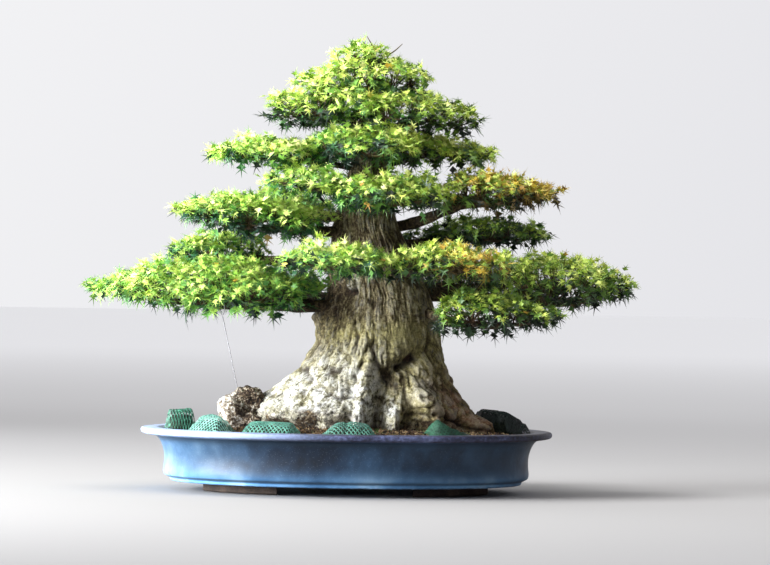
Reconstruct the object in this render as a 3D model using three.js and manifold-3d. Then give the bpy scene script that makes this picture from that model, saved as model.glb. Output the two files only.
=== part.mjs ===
// A broad-based Japanese maple grown as a bonsai, in an oval glazed tray pot.
// One trunk flares into spread roots, carries its boughs in layers, and each bough holds one flat
// pad of lobed leaves. Pieces of green netting lie over cakes of feed on the soil.
// Millimetres, +Z up. The front of the tree faces -Y. Inside the group, x = y = 0 is the middle of the pot.
import * as THREE from "three";
import { mergeVertices } from "three/addons/utils/BufferGeometryUtils.js";
import Module from "manifold-3d";

const wasm = await Module();
wasm.setup();
const { Manifold, Mesh } = wasm;

// Driving dimensions.
const CROWN_MIDDLE = [21, 42.5]; // middle of the whole tree's box, measured from the middle of the pot
const GAP = 0.4; // left between pieces that touch

const POT = {
  halfLength: 355,
  halfWidth: 275,
  height: 107,
  lipThick: 11,
  lipWide: 30,
  wall: 12,
  floor: 14,
  footHigh: 15,
  footSet: 98, // how far the feet stand in from the lip's rim
  footWide: 26,
  gapLong: 230, // between the feet, at the front and back
  gapShort: 124, // between the feet, at the two ends
  roundness: 2.15, // exponent of the oval: 2 is an ellipse
  around: 34,
};
// Height of the soil by its share of the way from the middle to the pot's wall.
const SOIL_SURFACE = [
  [1, 99],
  [0.74, 106],
  [0.42, 112],
];
const DRAIN = { radius: 17, x: 150, screen: 52, screenThick: 1.2 };

const TRUNK = { foot: 92, soilLine: 112, around: 38, rings: 17, crowding: 0.42 };
const LEAF = { smallest: 47, growth: 0.19, longest: 76, sunk: 8, thick: 2.6 };

// Small seeded generator, so that every build gives the same tree.
function seeded(seed) {
  let state = seed;
  return () => {
    state = (state + 0x6d2b79f5) | 0;
    let t = Math.imul(state ^ (state >>> 15), 1 | state);
    t = (t + Math.imul(t ^ (t >>> 7), 61 | t)) ^ t;
    return ((t ^ (t >>> 14)) >>> 0) / 4294967296;
  };
}

const radians = (degrees) => (degrees * Math.PI) / 180;
const mix = (a, b, t) => a + (b - a) * t;
const between = (p, q, t) => p.map((v, c) => mix(v, q[c], t));

// Solids.

// A closed solid from corner points and triangles of their numbers.
function solid(points, triangles) {
  return new Manifold(
    new Mesh({
      numProp: 3,
      vertProperties: Float32Array.from(points.flat()),
      triVerts: Uint32Array.from(triangles.flat()),
    }),
  );
}

// A closed solid from a three.js geometry.
function solidOf(geometry) {
  const bare = geometry.clone();
  bare.deleteAttribute("normal");
  bare.deleteAttribute("uv");
  const merged = mergeVertices(bare, 1e-3);
  return new Manifold(
    new Mesh({
      numProp: 3,
      vertProperties: merged.attributes.position.array,
      triVerts: Uint32Array.from(merged.index.array),
    }),
  );
}

// Rings of equal count skinned one to the next, from the first, capped at both ends.
// Each ring runs anticlockwise seen from its end, and the rings run upwards.
function skinned(rings) {
  const n = rings[0].length;
  const points = rings.flat();
  const triangles = [];
  for (let k = 0; k + 1 < rings.length; k++) {
    for (let i = 0; i < n; i++) {
      const a = k * n + i;
      const b = k * n + ((i + 1) % n);
      triangles.push([a, b, b + n], [a, b + n, a + n]);
    }
  }
  const middleOf = (ring) => [0, 1, 2].map((c) => ring.reduce((sum, p) => sum + p[c], 0) / n);
  const low = points.push(middleOf(rings[0])) - 1;
  const high = points.push(middleOf(rings[rings.length - 1])) - 1;
  const top = (rings.length - 1) * n;
  for (let i = 0; i < n; i++) {
    triangles.push([low, (i + 1) % n, i], [high, top + i, top + ((i + 1) % n)]);
  }
  return solid(points, triangles);
}

// A round bar along a smooth line through points, tapering through the given radii.
function taperedBar(points, radii, sides, steps) {
  const line = new THREE.CatmullRomCurve3(points.map((p) => new THREE.Vector3(...p)), false, "centripetal");
  const frames = line.computeFrenetFrames(steps, false);
  const rings = [];
  for (let k = 0; k <= steps; k++) {
    const t = k / steps;
    const at = line.getPointAt(t);
    const place = t * (radii.length - 1);
    const low = Math.min(Math.floor(place), radii.length - 2);
    const radius = mix(radii[low], radii[low + 1], place - low);
    rings.push(
      Array.from({ length: sides }, (_, i) => {
        const turn = (i / sides) * 2 * Math.PI;
        const p = at
          .clone()
          .addScaledVector(frames.normals[k], radius * Math.cos(turn))
          .addScaledVector(frames.binormals[k], radius * Math.sin(turn));
        return [p.x, p.y, p.z];
      }),
    );
  }
  return skinned(rings);
}

// The largest body of a solid, without the scraps that a cut leaves.
function mainBody(shape) {
  return shape.decompose().reduce((best, body) => (body.volume() > best.volume() ? body : best));
}

// Turns a solid back into a named mesh in its material.
function meshOf(name, shape, material) {
  const { vertProperties, triVerts, numProp, numVert } = shape.getMesh();
  const positions = new Float32Array(numVert * 3);
  for (let i = 0; i < numVert; i++) {
    positions.set(vertProperties.subarray(i * numProp, i * numProp + 3), i * 3);
  }
  const geometry = new THREE.BufferGeometry()
    .setAttribute("position", new THREE.BufferAttribute(positions, 3))
    .setIndex(new THREE.BufferAttribute(triVerts, 1));
  geometry.computeVertexNormals();
  const mesh = new THREE.Mesh(geometry, material);
  mesh.name = name;
  return mesh;
}

// Materials.
const standard = (color, roughness, metalness = 0) =>
  new THREE.MeshStandardMaterial({ color, roughness, metalness });
const MATERIALS = {
  glaze: standard("#5f86ad", 0.25),
  soil: standard("#4a3a2a", 0.95),
  bark: standard("#a39a86", 0.85),
  leaf: standard("#76a832", 0.55),
  shadedLeaf: standard("#4a7a34", 0.55),
  turningLeaf: standard("#b5862f", 0.55),
  netting: standard("#2f8a6b", 0.6),
  feed: standard("#5a4128", 0.95),
  screen: standard("#22262a", 0.6),
  wire: standard("#5c5a56", 0.4, 1),
};

// Pot: a fired stoneware tray. Every level is the lip's oval, drawn in by some distance.
function oval(inset, z, around = POT.around) {
  const a = POT.halfLength - inset;
  const b = POT.halfWidth - inset;
  const power = 2 / POT.roundness;
  return Array.from({ length: around }, (_, i) => {
    const turn = (i / around) * 2 * Math.PI;
    const c = Math.cos(turn);
    const s = Math.sin(turn);
    return [a * Math.sign(c) * Math.abs(c) ** power, b * Math.sign(s) * Math.abs(s) ** power, z];
  });
}

// The wall's outside runs from the base up: base band, belly, waist, then the flare under the lip.
const WALL_PROFILE = [
  [54, POT.footHigh],
  [51, POT.footHigh + 7],
  [39, POT.footHigh + 11],
  [43, 48],
  [38, 74],
  [29, POT.height - POT.lipThick - 4],
  [3, POT.height - POT.lipThick],
  [0, POT.height - 5],
  [3, POT.height],
];

// The hollow: how far its wall stands in from the lip's rim at each height.
const HOLLOW_PROFILE = [
  [POT.wall + 53, POT.footHigh + POT.floor],
  [POT.wall + 41, POT.footHigh + POT.floor + 12],
  [POT.wall + 31, 88],
  [POT.lipWide, POT.height + 5],
];
function makePot() {
  const outside = skinned(WALL_PROFILE.map(([inset, z]) => oval(inset, z)));
  const inside = skinned(HOLLOW_PROFILE.map(([inset, z]) => oval(inset, z)));
  const [footOuter, footInner] = [POT.footSet, POT.footSet + POT.footWide];
  const footRing = skinned([oval(footOuter, 0), oval(footOuter - 2, POT.footHigh + 2)]).subtract(
    skinned([oval(footInner, -5), oval(footInner, POT.footHigh + 5)]),
  );
  const gap = (length, width) => solidOf(new THREE.BoxGeometry(length, width, 4 * POT.footHigh));
  const feet = footRing.subtract(gap(POT.gapLong, 900)).subtract(gap(900, POT.gapShort));
  const hole = solidOf(new THREE.CylinderGeometry(DRAIN.radius, DRAIN.radius, 80, 12).rotateX(Math.PI / 2));
  return outside
    .subtract(inside)
    .add(feet)
    .subtract(hole.translate([-DRAIN.x, 0, 20]))
    .subtract(hole.translate([DRAIN.x, 0, 20]));
}

// Screens of plastic mesh over the drain holes, under the soil.
const screenLow = POT.footHigh + POT.floor + GAP;
function makeScreen(x) {
  const sheet = solidOf(new THREE.BoxGeometry(DRAIN.screen, DRAIN.screen, DRAIN.screenThick));
  const pitch = DRAIN.screen / 3.4;
  const opening = solidOf(new THREE.BoxGeometry(pitch * 0.74, pitch * 0.74, 10));
  const openings = [-1, 0, 1].flatMap((i) => [-1, 0, 1].map((j) => opening.translate([i * pitch, j * pitch, 0])));
  return sheet.subtract(Manifold.union(openings)).translate([x, 0, screenLow + DRAIN.screenThick / 2]);
}

// Trunk: its middle line and half-widths, from the soil up, then the roots that its base flares into.
const TRUNK_LINE = [
  // z, x, y, half-width, half-depth
  [92, 48, 8, 100, 92],
  [140, 50, 8, 100, 90],
  [210, 54, 8, 98, 86],
  [276, 55, 6, 97, 80],
  [345, 54, 4, 84, 68],
  [400, 42, 4, 71, 57],
  [457, 26, 4, 56, 46],
  [500, 26, 2, 43, 37],
  [560, 30, 0, 32, 29],
  [640, 37, -2, 21, 20],
  [700, 41, 0, 12, 12],
  [748, 38, 4, 5, 5],
];
// Each root: direction in plan (0 is right, 90 is the back), how far it runs past the trunk,
// the height at which half of that is left, and its spread in degrees.
const ROOTS = [
  { at: -14, reach: 46, knee: 22, spread: 8 },
  { at: -8, reach: 60, knee: 86, spread: 16 },
  { at: 26, reach: 60, knee: 62, spread: 14 },
  { at: 62, reach: 62, knee: 84, spread: 15 },
  { at: 100, reach: 74, knee: 78, spread: 16 },
  { at: 140, reach: 70, knee: 66, spread: 14 },
  { at: 182, reach: 116, knee: 78, spread: 17 },
  { at: 212, reach: 92, knee: 84, spread: 22 },
  { at: 241, reach: 42, knee: 66, spread: 12 },
  { at: 259, reach: 56, knee: 62, spread: 6.5 },
  { at: 284, reach: 44, knee: 40, spread: 7 },
  { at: 318, reach: 58, knee: 66, spread: 22 },
];
// Swellings and hollows of the old wood: direction, height, how wide and high they are, and how far they stand out.
const BURRS = [
  { at: 307, z: 164, wide: 10, high: 20, out: 18 },
  { at: 277, z: 200, wide: 9, high: 14, out: -14 },
  { at: 296, z: 219, wide: 12, high: 11, out: -17 },
  { at: 322, z: 240, wide: 14, high: 14, out: -10 },
  { at: 230, z: 116, wide: 24, high: 12, out: -14 },
  { at: 302, z: 116, wide: 13, high: 12, out: -14 },
  { at: 233, z: 357, wide: 9, high: 12, out: 9 },
  { at: 250, z: 470, wide: 20, high: 26, out: 7 },
];

function alongTrunk(z) {
  let k = 0;
  while (k < TRUNK_LINE.length - 2 && z > TRUNK_LINE[k + 1][0]) k++;
  const t = (z - TRUNK_LINE[k][0]) / (TRUNK_LINE[k + 1][0] - TRUNK_LINE[k][0]);
  return TRUNK_LINE[k].map((v, c) => mix(v, TRUNK_LINE[k + 1][c], t));
}

const turnBetween = (a, b) => ((((a - b + 180) % 360) + 360) % 360) - 180;
const hump = (distance, width) => Math.exp(-((distance / width) ** 2));

// Distance from the middle line to the bark: an ellipse, plus a falling flare along each root, plus the burrs.
function barkRadius(degrees, z) {
  const [, , , halfWidth, halfDepth] = alongTrunk(z);
  const turn = radians(degrees);
  let radius = 1 / Math.hypot(Math.cos(turn) / halfWidth, Math.sin(turn) / halfDepth);
  for (const root of ROOTS) {
    const up = Math.max(0, z - TRUNK.soilLine + 8) / root.knee;
    radius += (root.reach / (1 + up ** 3)) * hump(turnBetween(degrees, root.at), root.spread * (1 + 0.2 * up));
  }
  for (const burr of BURRS) {
    radius += burr.out * hump(turnBetween(degrees, burr.at), burr.wide) * hump(z - burr.z, burr.high);
  }
  return radius;
}

function makeTrunkBody(extra) {
  const top = TRUNK_LINE[TRUNK_LINE.length - 1][0];
  const rings = Array.from({ length: TRUNK.rings + 1 }, (_, k) => {
    const z = mix(TRUNK.foot, top, (k / TRUNK.rings) ** 1.45);
    const [, x, y] = alongTrunk(z);
    return Array.from({ length: TRUNK.around }, (_, i) => {
      // The corners stand closer together at the front.
      const share = (2 * i) / TRUNK.around - 1;
      const degrees = 270 + 180 * (share - (TRUNK.crowding * Math.sin(Math.PI * share)) / Math.PI);
      const radius = barkRadius(degrees, z) + extra;
      return [x + radius * Math.cos(radians(degrees)), y + radius * Math.sin(radians(degrees)), z];
    });
  });
  rings[0] = rings[0].map(([x, y, z]) => [x, y, z - extra]);
  return skinned(rings);
}

// The old root stump at the left, knuckled and cut back, and the root that joins it to the trunk.
const STUMP = { x: -177, y: -12, z: 118, length: 98, width: 76, height: 112 };
function makeStump(extra) {
  const lump = new THREE.IcosahedronGeometry(1, 2);
  const place = lump.attributes.position;
  for (let i = 0; i < place.count; i++) {
    const [x, y, z] = [place.getX(i), place.getY(i), place.getZ(i)];
    const knuckle = 1 + 0.1 * Math.sin(5 * x + 1) * Math.cos(4 * y) + 0.08 * Math.sin(7 * z + 3 * x);
    place.setXYZ(
      i,
      STUMP.x + x * knuckle * (STUMP.length / 2 + extra),
      STUMP.y + y * knuckle * (STUMP.width / 2 + extra),
      STUMP.z + z * knuckle * (STUMP.height / 2 + extra),
    );
  }
  const under = solidOf(new THREE.BoxGeometry(400, 300, 100)).translate([STUMP.x, STUMP.y, TRUNK.foot - extra - 50]);
  return solidOf(lump).subtract(under);
}

// Foliage, in pads. Each has its middle in plan, half-length, half-width, lowest and highest leaf, the colour of
// its leaves, and the height at which its bough leaves the trunk.
const PADS = {
  low_left: { x: -254, y: -30, a: 214, b: 152, low: 304, high: 412, leaf: "leaf", from: 318 },
  low_left_back: { x: -212, y: 132, a: 118, b: 94, low: 386, high: 450, leaf: "shadedLeaf", from: 392 },
  front_left: { x: -16, y: -186, a: 106, b: 92, low: 357, high: 428, leaf: "leaf", from: 376 },
  front_right: { x: 184, y: -176, a: 112, b: 92, low: 356, high: 428, leaf: "leaf", from: 376 },
  low_right: { x: 376, y: 14, a: 121, b: 134, low: 320, high: 421, leaf: "leaf", from: 346 },
  low_right_front: { x: 250, y: -124, a: 122, b: 96, low: 270, high: 351, leaf: "leaf", from: 318 },
  back_low_left: { x: -150, y: 226, a: 124, b: 100, low: 320, high: 380, leaf: "shadedLeaf", from: 330 },
  back_low: { x: 46, y: 270, a: 118, b: 96, low: 376, high: 440, leaf: "shadedLeaf", from: 384 },
  back_low_right: { x: 236, y: 212, a: 118, b: 96, low: 340, high: 402, leaf: "shadedLeaf", from: 352 },
  mid_left: { x: -172, y: -20, a: 144, b: 122, low: 444, high: 516, leaf: "leaf", from: 446 },
  right_dark: { x: 224, y: 92, a: 136, b: 98, low: 423, high: 486, leaf: "shadedLeaf", from: 424 },
  right_orange: { x: 254, y: -24, a: 108, b: 112, low: 486, high: 556, leaf: "turningLeaf", from: 450 },
  mid_front: { x: 66, y: -126, a: 108, b: 92, low: 484, high: 552, leaf: "leaf", from: 498 },
  back_mid_left: { x: -120, y: 174, a: 106, b: 88, low: 464, high: 526, leaf: "shadedLeaf", from: 474 },
  back_mid: { x: 66, y: 202, a: 104, b: 88, low: 504, high: 562, leaf: "shadedLeaf", from: 508 },
  upper_left: { x: -136, y: -6, a: 118, b: 104, low: 554, high: 622, leaf: "leaf", from: 560 },
  small_left: { x: -96, y: -106, a: 92, b: 74, low: 506, high: 562, leaf: "leaf", from: 520 },
  upper_right: { x: 160, y: 16, a: 106, b: 100, low: 556, high: 622, leaf: "leaf", from: 562 },
  upper_front: { x: 28, y: -92, a: 106, b: 80, low: 560, high: 634, leaf: "leaf", from: 580 },
  back_upper: { x: 16, y: 132, a: 108, b: 78, low: 576, high: 636, leaf: "shadedLeaf", from: 582 },
  high: { x: 37, y: -16, a: 198, b: 106, low: 616, high: 698, leaf: "leaf", from: 630 },
  top: { x: 27, y: -8, a: 134, b: 80, low: 680, high: 750, leaf: "leaf", from: 690 },
  apex: { x: 38, y: -4, a: 74, b: 62, low: 726, high: 783, leaf: "leaf", from: 730 },
};
const PAD_SEAT = 0.42; // how far up a pad its widest line lies

// The line and radii of one bough: out of the trunk at its own height, then level along the underside of its pad.
function boughPath(from, goal, spread) {
  const [, x, y, halfWidth] = alongTrunk(from);
  const [dx, dy] = [goal[0] - x, goal[1] - y];
  const far = Math.hypot(dx, dy);
  const along = (share, z, sway) => [x + dx * share - dy * sway, y + dy * share + dx * sway, z];
  const thick = Math.min(halfWidth * 0.3, 3.5 + 0.055 * far + 0.02 * spread);
  const points = [
    along(0, from - 2, 0),
    along(0.36, mix(from, goal[2], 0.3), 0.05),
    along(0.7, mix(from, goal[2], 0.85), -0.04),
    along(1, goal[2], 0),
    along(1 + (0.3 * spread) / far, goal[2] + 3, 0.02),
  ];
  const radii = [thick * 1.3, thick * 0.86, thick * 0.62, thick * 0.44, 2.4].map((r) => Math.max(r, 2.4));
  return { points, radii, steps: far > 150 ? 4 : 2 };
}

// A pad out to one side has one bough. A tier that goes right round the trunk has three.
function boughPaths(pad) {
  const seat = pad.low + 10;
  const [, x, y] = alongTrunk(pad.from);
  if (Math.hypot(pad.x - x, pad.y - y) > 40) return [boughPath(pad.from, [pad.x, pad.y, seat], pad.a)];
  return [0.1, 2.3, 3.3].map((turn) => {
    const goal = [pad.x + 0.42 * pad.a * Math.cos(turn), pad.y + 0.34 * pad.b * Math.sin(turn), seat + 4];
    return boughPath(pad.from, goal, 0.4 * pad.b);
  });
}

function makeWood(extra) {
  const boughs = Object.entries(PADS)
    .filter(([name]) => name !== "apex")
    .flatMap(([, pad]) => boughPaths(pad))
    .map(({ points, radii, steps }) => taperedBar(points, radii.map((radius) => radius + extra), 5, steps));
  return Manifold.union([makeTrunkBody(extra), makeStump(extra), ...boughs]).simplify(0.05);
}

// A palmate leaf of five pointed lobes, thin and slightly domed, from its stalk at the origin along +X.
const LOBES = [
  { turn: -108, reach: 0.34 },
  { turn: -56, reach: 0.52 },
  { turn: 0, reach: 0.6 },
  { turn: 56, reach: 0.52 },
  { turn: 108, reach: 0.34 },
];
function leafSolid(length) {
  const middle = 0.4 * length;
  const outline = [[0, 0, 0]];
  LOBES.forEach((lobe, k) => {
    const tip = radians(lobe.turn);
    outline.push([middle + lobe.reach * length * Math.cos(tip), lobe.reach * length * Math.sin(tip), 0]);
    if (k + 1 < LOBES.length) {
      const notch = radians((lobe.turn + LOBES[k + 1].turn) / 2);
      outline.push([middle + 0.22 * length * Math.cos(notch), 0.22 * length * Math.sin(notch), 0]);
    }
  });
  const crest = outline.push([middle, 0, LEAF.thick]) - 1;
  const top = Array.from({ length: crest }, (_, i) => [crest, i, (i + 1) % crest]);
  const palm = [[2, 0, 4], [4, 0, 6], [6, 0, 8]];
  const fingers = [[1, 0, 2], [3, 2, 4], [5, 4, 6], [7, 6, 8], [9, 8, 0]];
  return solid(outline, [...top, ...palm, ...fingers]);
}

// Leaves are larger on the larger pads.
const leafLength = (pad) => Math.min(LEAF.longest, LEAF.smallest + LEAF.growth * pad.a);

// Outline of a pad in plan, as a share of its half-lengths: a lobed oval.
function padOutline(turn, phase) {
  return 1 + 0.05 * Math.sin(3 * turn + phase) + 0.035 * Math.sin(5 * turn + 2.1 * phase);
}

// Leaves round a pad's rim.
const rimLeaves = (pad) =>
  Math.round((2 * Math.PI * 0.8 * Math.sqrt((pad.a ** 2 + pad.b ** 2) / 2)) / (1.26 * leafLength(pad)));

// The smaller body that the leaves stand out of: a cushion of three rings, each turned half a side from the one below.
function coreRings(pad, phase) {
  const around = rimLeaves(pad);
  const seat = mix(pad.low, pad.high, PAD_SEAT);
  return [
    { share: 0.58, z: pad.low + 12 },
    { share: 0.75, z: seat },
    { share: 0.52, z: pad.high - 17 },
  ].map((ring, k) =>
    Array.from({ length: around }, (_, i) => {
      const turn = ((i - 0.5 * k) / around) * 2 * Math.PI;
      const reach = ring.share * padOutline(turn, phase);
      return [pad.x + pad.a * reach * Math.cos(turn), pad.y + pad.b * reach * Math.sin(turn), ring.z];
    }),
  );
}

// Where the leaves of a pad stand: a row hanging from the rim, a row on the shoulder, and some on the crown,
// each on its own facet of the core and pointing outwards.
function leafPlaces(pad, [under, rim, top], random) {
  const size = leafLength(pad);
  const crest = [pad.x, pad.y, top[0][2]];
  const every = rim.length / Math.max(2, Math.round(rim.length * 0.4));
  const onRim = rim.map((p, i) => between(between(p, rim[(i + 1) % rim.length], 0.5), under[i], 0.12));
  const onShoulder = top.map((p, i) => between(between(p, top[(i + 1) % top.length], 0.5), rim[i], 0.2));
  const onCrown = top
    .map((p, i) => between(crest, between(p, top[(i + 1) % top.length], 0.5), 0.5))
    .filter((_, i) => i % every < 1);
  const rows = [
    { places: onRim, nod: 42 },
    { places: onShoulder, nod: 2 },
    { places: onCrown, nod: -20 },
  ];
  return rows.flatMap((row) =>
    row.places.map((at) => ({
      at,
      heading: Math.atan2(at[1] - pad.y, at[0] - pad.x) + 0.5 * (random() - 0.5),
      nod: radians(row.nod + 20 * (random() - 0.5)),
      lean: radians(22 * (random() - 0.5)),
      length: size * (0.92 + 0.16 * random()),
    })),
  );
}

function leafAt(place) {
  const turned = new THREE.Matrix4()
    .makeTranslation(...place.at)
    .multiply(new THREE.Matrix4().makeRotationZ(place.heading))
    .multiply(new THREE.Matrix4().makeRotationY(place.nod))
    .multiply(new THREE.Matrix4().makeRotationX(place.lean))
    .multiply(new THREE.Matrix4().makeTranslation(-LEAF.sunk, 0, 0));
  return leafSolid(place.length).transform(turned.elements);
}

const boxesMeet = (p, q, room) =>
  [0, 1, 2].every((c) => p.min[c] < q.max[c] + room && q.min[c] < p.max[c] + room);
const clearOf = (leaf, other) => !boxesMeet(leaf.boundingBox(), other.box, 1) || leaf.minGap(other.shape, 1) > 0.8;

// All pads. A leaf that would cross another pad or its leaves is bent up or down, and left out if that doesn't help.
function makeFoliage(wood, wire, wireRoom) {
  const names = Object.keys(PADS);
  const rings = names.map((name, k) => coreRings(PADS[name], 1.7 * k));
  const cores = rings.map((ring) => skinned(ring));
  const placed = [...cores, wire].map((shape, k) => ({ pad: k, shape, box: shape.boundingBox() }));
  const leaves = names.map(() => []);
  names.forEach((name, k) => {
    const random = seeded(100 + k);
    for (const place of leafPlaces(PADS[name], rings[k], random)) {
      const shape = [0, -22, 26]
        .map((bend) => leafAt({ ...place, nod: place.nod + radians(bend) }))
        .find((leaf) => placed.every((other) => other.pad === k || clearOf(leaf, other)));
      if (!shape) continue;
      placed.push({ pad: k, shape, box: shape.boundingBox() });
      leaves[k].push(shape);
    }
  });
  return names.map((name, k) => ({
    name: "foliage_" + name,
    leaf: PADS[name].leaf,
    shape: mainBody(Manifold.union([cores[k], ...leaves[k]]).subtract(wood).subtract(wireRoom).simplify(0.02)),
  }));
}

// Soil: fills the pot up to the lip and rises towards the trunk, with a socket for the root base.
const [HOLLOW_FLOOR, HOLLOW_BEND, HOLLOW_SHOULDER, HOLLOW_MOUTH] = HOLLOW_PROFILE;
const soilEdge = mix(
  HOLLOW_SHOULDER[0],
  HOLLOW_MOUTH[0],
  (SOIL_SURFACE[0][1] - HOLLOW_SHOULDER[1]) / (HOLLOW_MOUTH[1] - HOLLOW_SHOULDER[1]),
);

function soilHeight(x, y) {
  const reach = [Math.abs(x) / (POT.halfLength - soilEdge), Math.abs(y) / (POT.halfWidth - soilEdge)];
  const share = (reach[0] ** POT.roundness + reach[1] ** POT.roundness) ** (1 / POT.roundness);
  const [edge, slope, top] = SOIL_SURFACE;
  if (share < top[0]) return top[1];
  const [low, high] = share > slope[0] ? [edge, slope] : [slope, top];
  return mix(low[1], high[1], (share - low[0]) / (high[0] - low[0]));
}

function makeSoil(wood, screens) {
  const levels = [
    [HOLLOW_FLOOR[0] + GAP, HOLLOW_FLOOR[1] + GAP],
    HOLLOW_BEND,
    HOLLOW_SHOULDER,
    [soilEdge, SOIL_SURFACE[0][1]],
  ].map(([inset, z]) => oval(inset + 1.6 * GAP, z));
  const surface = SOIL_SURFACE.slice(1).map(([share, z]) => oval(soilEdge, z).map(([x, y]) => [x * share, y * share, z]));
  return mainBody(skinned([...levels, ...surface]).subtract(wood).subtract(Manifold.union(screens)));
}

// Netting over cakes of feed, set round the rim on the soil: middle along the pot, side, and size.
const NETS = [
  { name: "left_rim", x: -288, side: -1, length: 74, width: 40, high: 34 },
  { name: "left_front", x: -226, side: -1, length: 88, width: 56, high: 30 },
  { name: "front_left", x: -126, side: -1, length: 98, width: 52, high: 22 },
  { name: "front_middle", x: 8, side: -1, length: 94, width: 50, high: 24 },
  { name: "front_right", x: 162, side: -1, length: 72, width: 52, high: 28 },
  { name: "right", x: 280, side: 1, length: 100, width: 64, high: 34 },
  { name: "back_right", x: 170, side: 1, length: 92, width: 54, high: 24 },
  { name: "back_left", x: -160, side: 1, length: 96, width: 54, high: 24 },
];
const NET_THICK = 1.4;

// A spot of a net's own length and width, as a point on the soil. The long way follows the rim.
function spotOf(net, p, q) {
  const inset = soilEdge + 6 + net.width / 2;
  const [a, b] = [POT.halfLength - inset, POT.halfWidth - inset];
  const across = Math.min(0.995, Math.abs(net.x) / a);
  const y = net.side * b * (1 - across ** POT.roundness) ** (1 / POT.roundness);
  const slope = -((across / a) * Math.sign(net.x) * across ** (POT.roundness - 2));
  const steep = (net.side * Math.abs(y / b) ** (POT.roundness - 1)) / b;
  const turn = Math.atan2(slope, steep);
  const [x0, c, s] = [Math.sign(net.x) * across * a, Math.cos(turn), Math.sin(turn)];
  const [x, yy] = [x0 + p * c - q * s, y + p * s + q * c];
  return [x, yy, soilHeight(x, yy) + GAP];
}

// A patch of net: an arched sheet whose long edges lie on the soil.
function makeNet(net) {
  const [across, along] = [4, 4];
  const heightAt = (u, v) => net.high * (1 - 0.9 * u * u) * (1 - v * v) ** 0.6;
  const place = (i, j, lift) => {
    const [u, v] = [(2 * i) / across - 1, (2 * j) / along - 1];
    const [x, y, z] = spotOf(net, (u * net.length) / 2, (v * net.width * (1 - 0.12 * u * u)) / 2);
    return [x, y, z + heightAt(u, v) + lift];
  };
  const rowsOf = (lift) => {
    const points = [];
    for (let i = 0; i <= across; i++) for (let j = 0; j <= along; j++) points.push(place(i, j, lift));
    return points;
  };
  const points = [...rowsOf(0), ...rowsOf(NET_THICK)];
  const half = points.length / 2;
  const number = (i, j) => i * (along + 1) + j;
  const triangles = [];
  for (let i = 0; i < across; i++) {
    for (let j = 0; j < along; j++) {
      const [p, q, r, s] = [number(i, j), number(i + 1, j), number(i + 1, j + 1), number(i, j + 1)];
      triangles.push([p, r, q], [p, s, r], [half + p, half + q, half + r], [half + p, half + r, half + s]);
    }
  }
  const rim = [];
  for (let i = 0; i < across; i++) rim.push([number(i, 0), number(i + 1, 0)]);
  for (let j = 0; j < along; j++) rim.push([number(across, j), number(across, j + 1)]);
  for (let i = across; i > 0; i--) rim.push([number(i, along), number(i - 1, along)]);
  for (let j = along; j > 0; j--) rim.push([number(0, j), number(0, j - 1)]);
  for (const [p, q] of rim) triangles.push([p, q, half + q], [p, half + q, half + p]);
  return solid(points, triangles);
}

// A cake of feed: a low rounded lump that holds its net up.
function makeCake(net) {
  const levels = [
    [0.36, 0],
    [0.38, net.high * 0.22],
    [0.2, net.high * 0.74],
  ];
  const ringOf = ([share, lift]) =>
    Array.from({ length: 6 }, (_, i) => {
      const turn = (i / 6) * 2 * Math.PI;
      const spot = spotOf(net, share * net.length * 0.9 * Math.cos(turn), share * net.width * 0.86 * Math.sin(turn));
      return [spot[0], spot[1], spot[2] + lift];
    });
  return skinned(levels.map(ringOf));
}

// Guy wire: looped round the lowest left bough and fastened into the root stump, to hold the bough down.
const WIRE = { x: -217, radius: 0.8, foot: [-184, -14, 150] };
function makeGuyWire(wood, extra) {
  const { points, radii } = boughPaths(PADS.low_left)[0];
  const line = new THREE.CatmullRomCurve3(points.map((p) => new THREE.Vector3(...p)), false, "centripetal");
  let share = 0;
  while (line.getPointAt(share).x > WIRE.x) share += 0.005;
  const at = line.getPointAt(share);
  const place = share * (radii.length - 1);
  const low = Math.floor(place);
  const loopRadius = mix(radii[low], radii[low + 1], place - low) + GAP + WIRE.radius + 0.6;
  const upright = new THREE.Quaternion().setFromUnitVectors(new THREE.Vector3(0, 0, 1), line.getTangentAt(share));
  const loop = solidOf(
    new THREE.TorusGeometry(loopRadius, WIRE.radius + extra, 5, 16)
      .applyQuaternion(upright)
      .translate(at.x, at.y, at.z),
  );
  const top = [at.x, at.y, at.z - loopRadius];
  const middle = between(top, WIRE.foot, 0.5);
  const run = taperedBar([top, middle, WIRE.foot], [WIRE.radius + extra, WIRE.radius + extra], 5, 2);
  return mainBody(loop.add(run).subtract(wood));
}

// Assembly.
const tree = new THREE.Group();
tree.position.set(-CROWN_MIDDLE[0], -CROWN_MIDDLE[1], 0);

const wood = makeWood(0);
const woodRoom = makeWood(GAP);
const screens = { drain_screen_left: -DRAIN.x, drain_screen_right: DRAIN.x };
const screenRoom = Object.values(screens).map((x) =>
  solidOf(new THREE.BoxGeometry(DRAIN.screen + 1, DRAIN.screen + 1, 8)).translate([
    x,
    0,
    screenLow + DRAIN.screenThick + GAP - 4,
  ]),
);

tree.add(meshOf("pot", makePot(), MATERIALS.glaze));
for (const [name, x] of Object.entries(screens)) tree.add(meshOf(name, makeScreen(x), MATERIALS.screen));
tree.add(meshOf("soil", makeSoil(woodRoom, screenRoom), MATERIALS.soil));
tree.add(meshOf("trunk", wood, MATERIALS.bark));
const wire = makeGuyWire(woodRoom, 0);
tree.add(meshOf("guy_wire", wire, MATERIALS.wire));
for (const pad of makeFoliage(woodRoom, wire, makeGuyWire(wood, GAP))) {
  tree.add(meshOf(pad.name, pad.shape, MATERIALS[pad.leaf]));
}
for (const net of NETS) {
  const cake = makeCake(net);
  tree.add(meshOf("feed_cake_" + net.name, cake, MATERIALS.feed));
  tree.add(meshOf("netting_" + net.name, makeNet(net), MATERIALS.netting));
}

export default tree;
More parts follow.
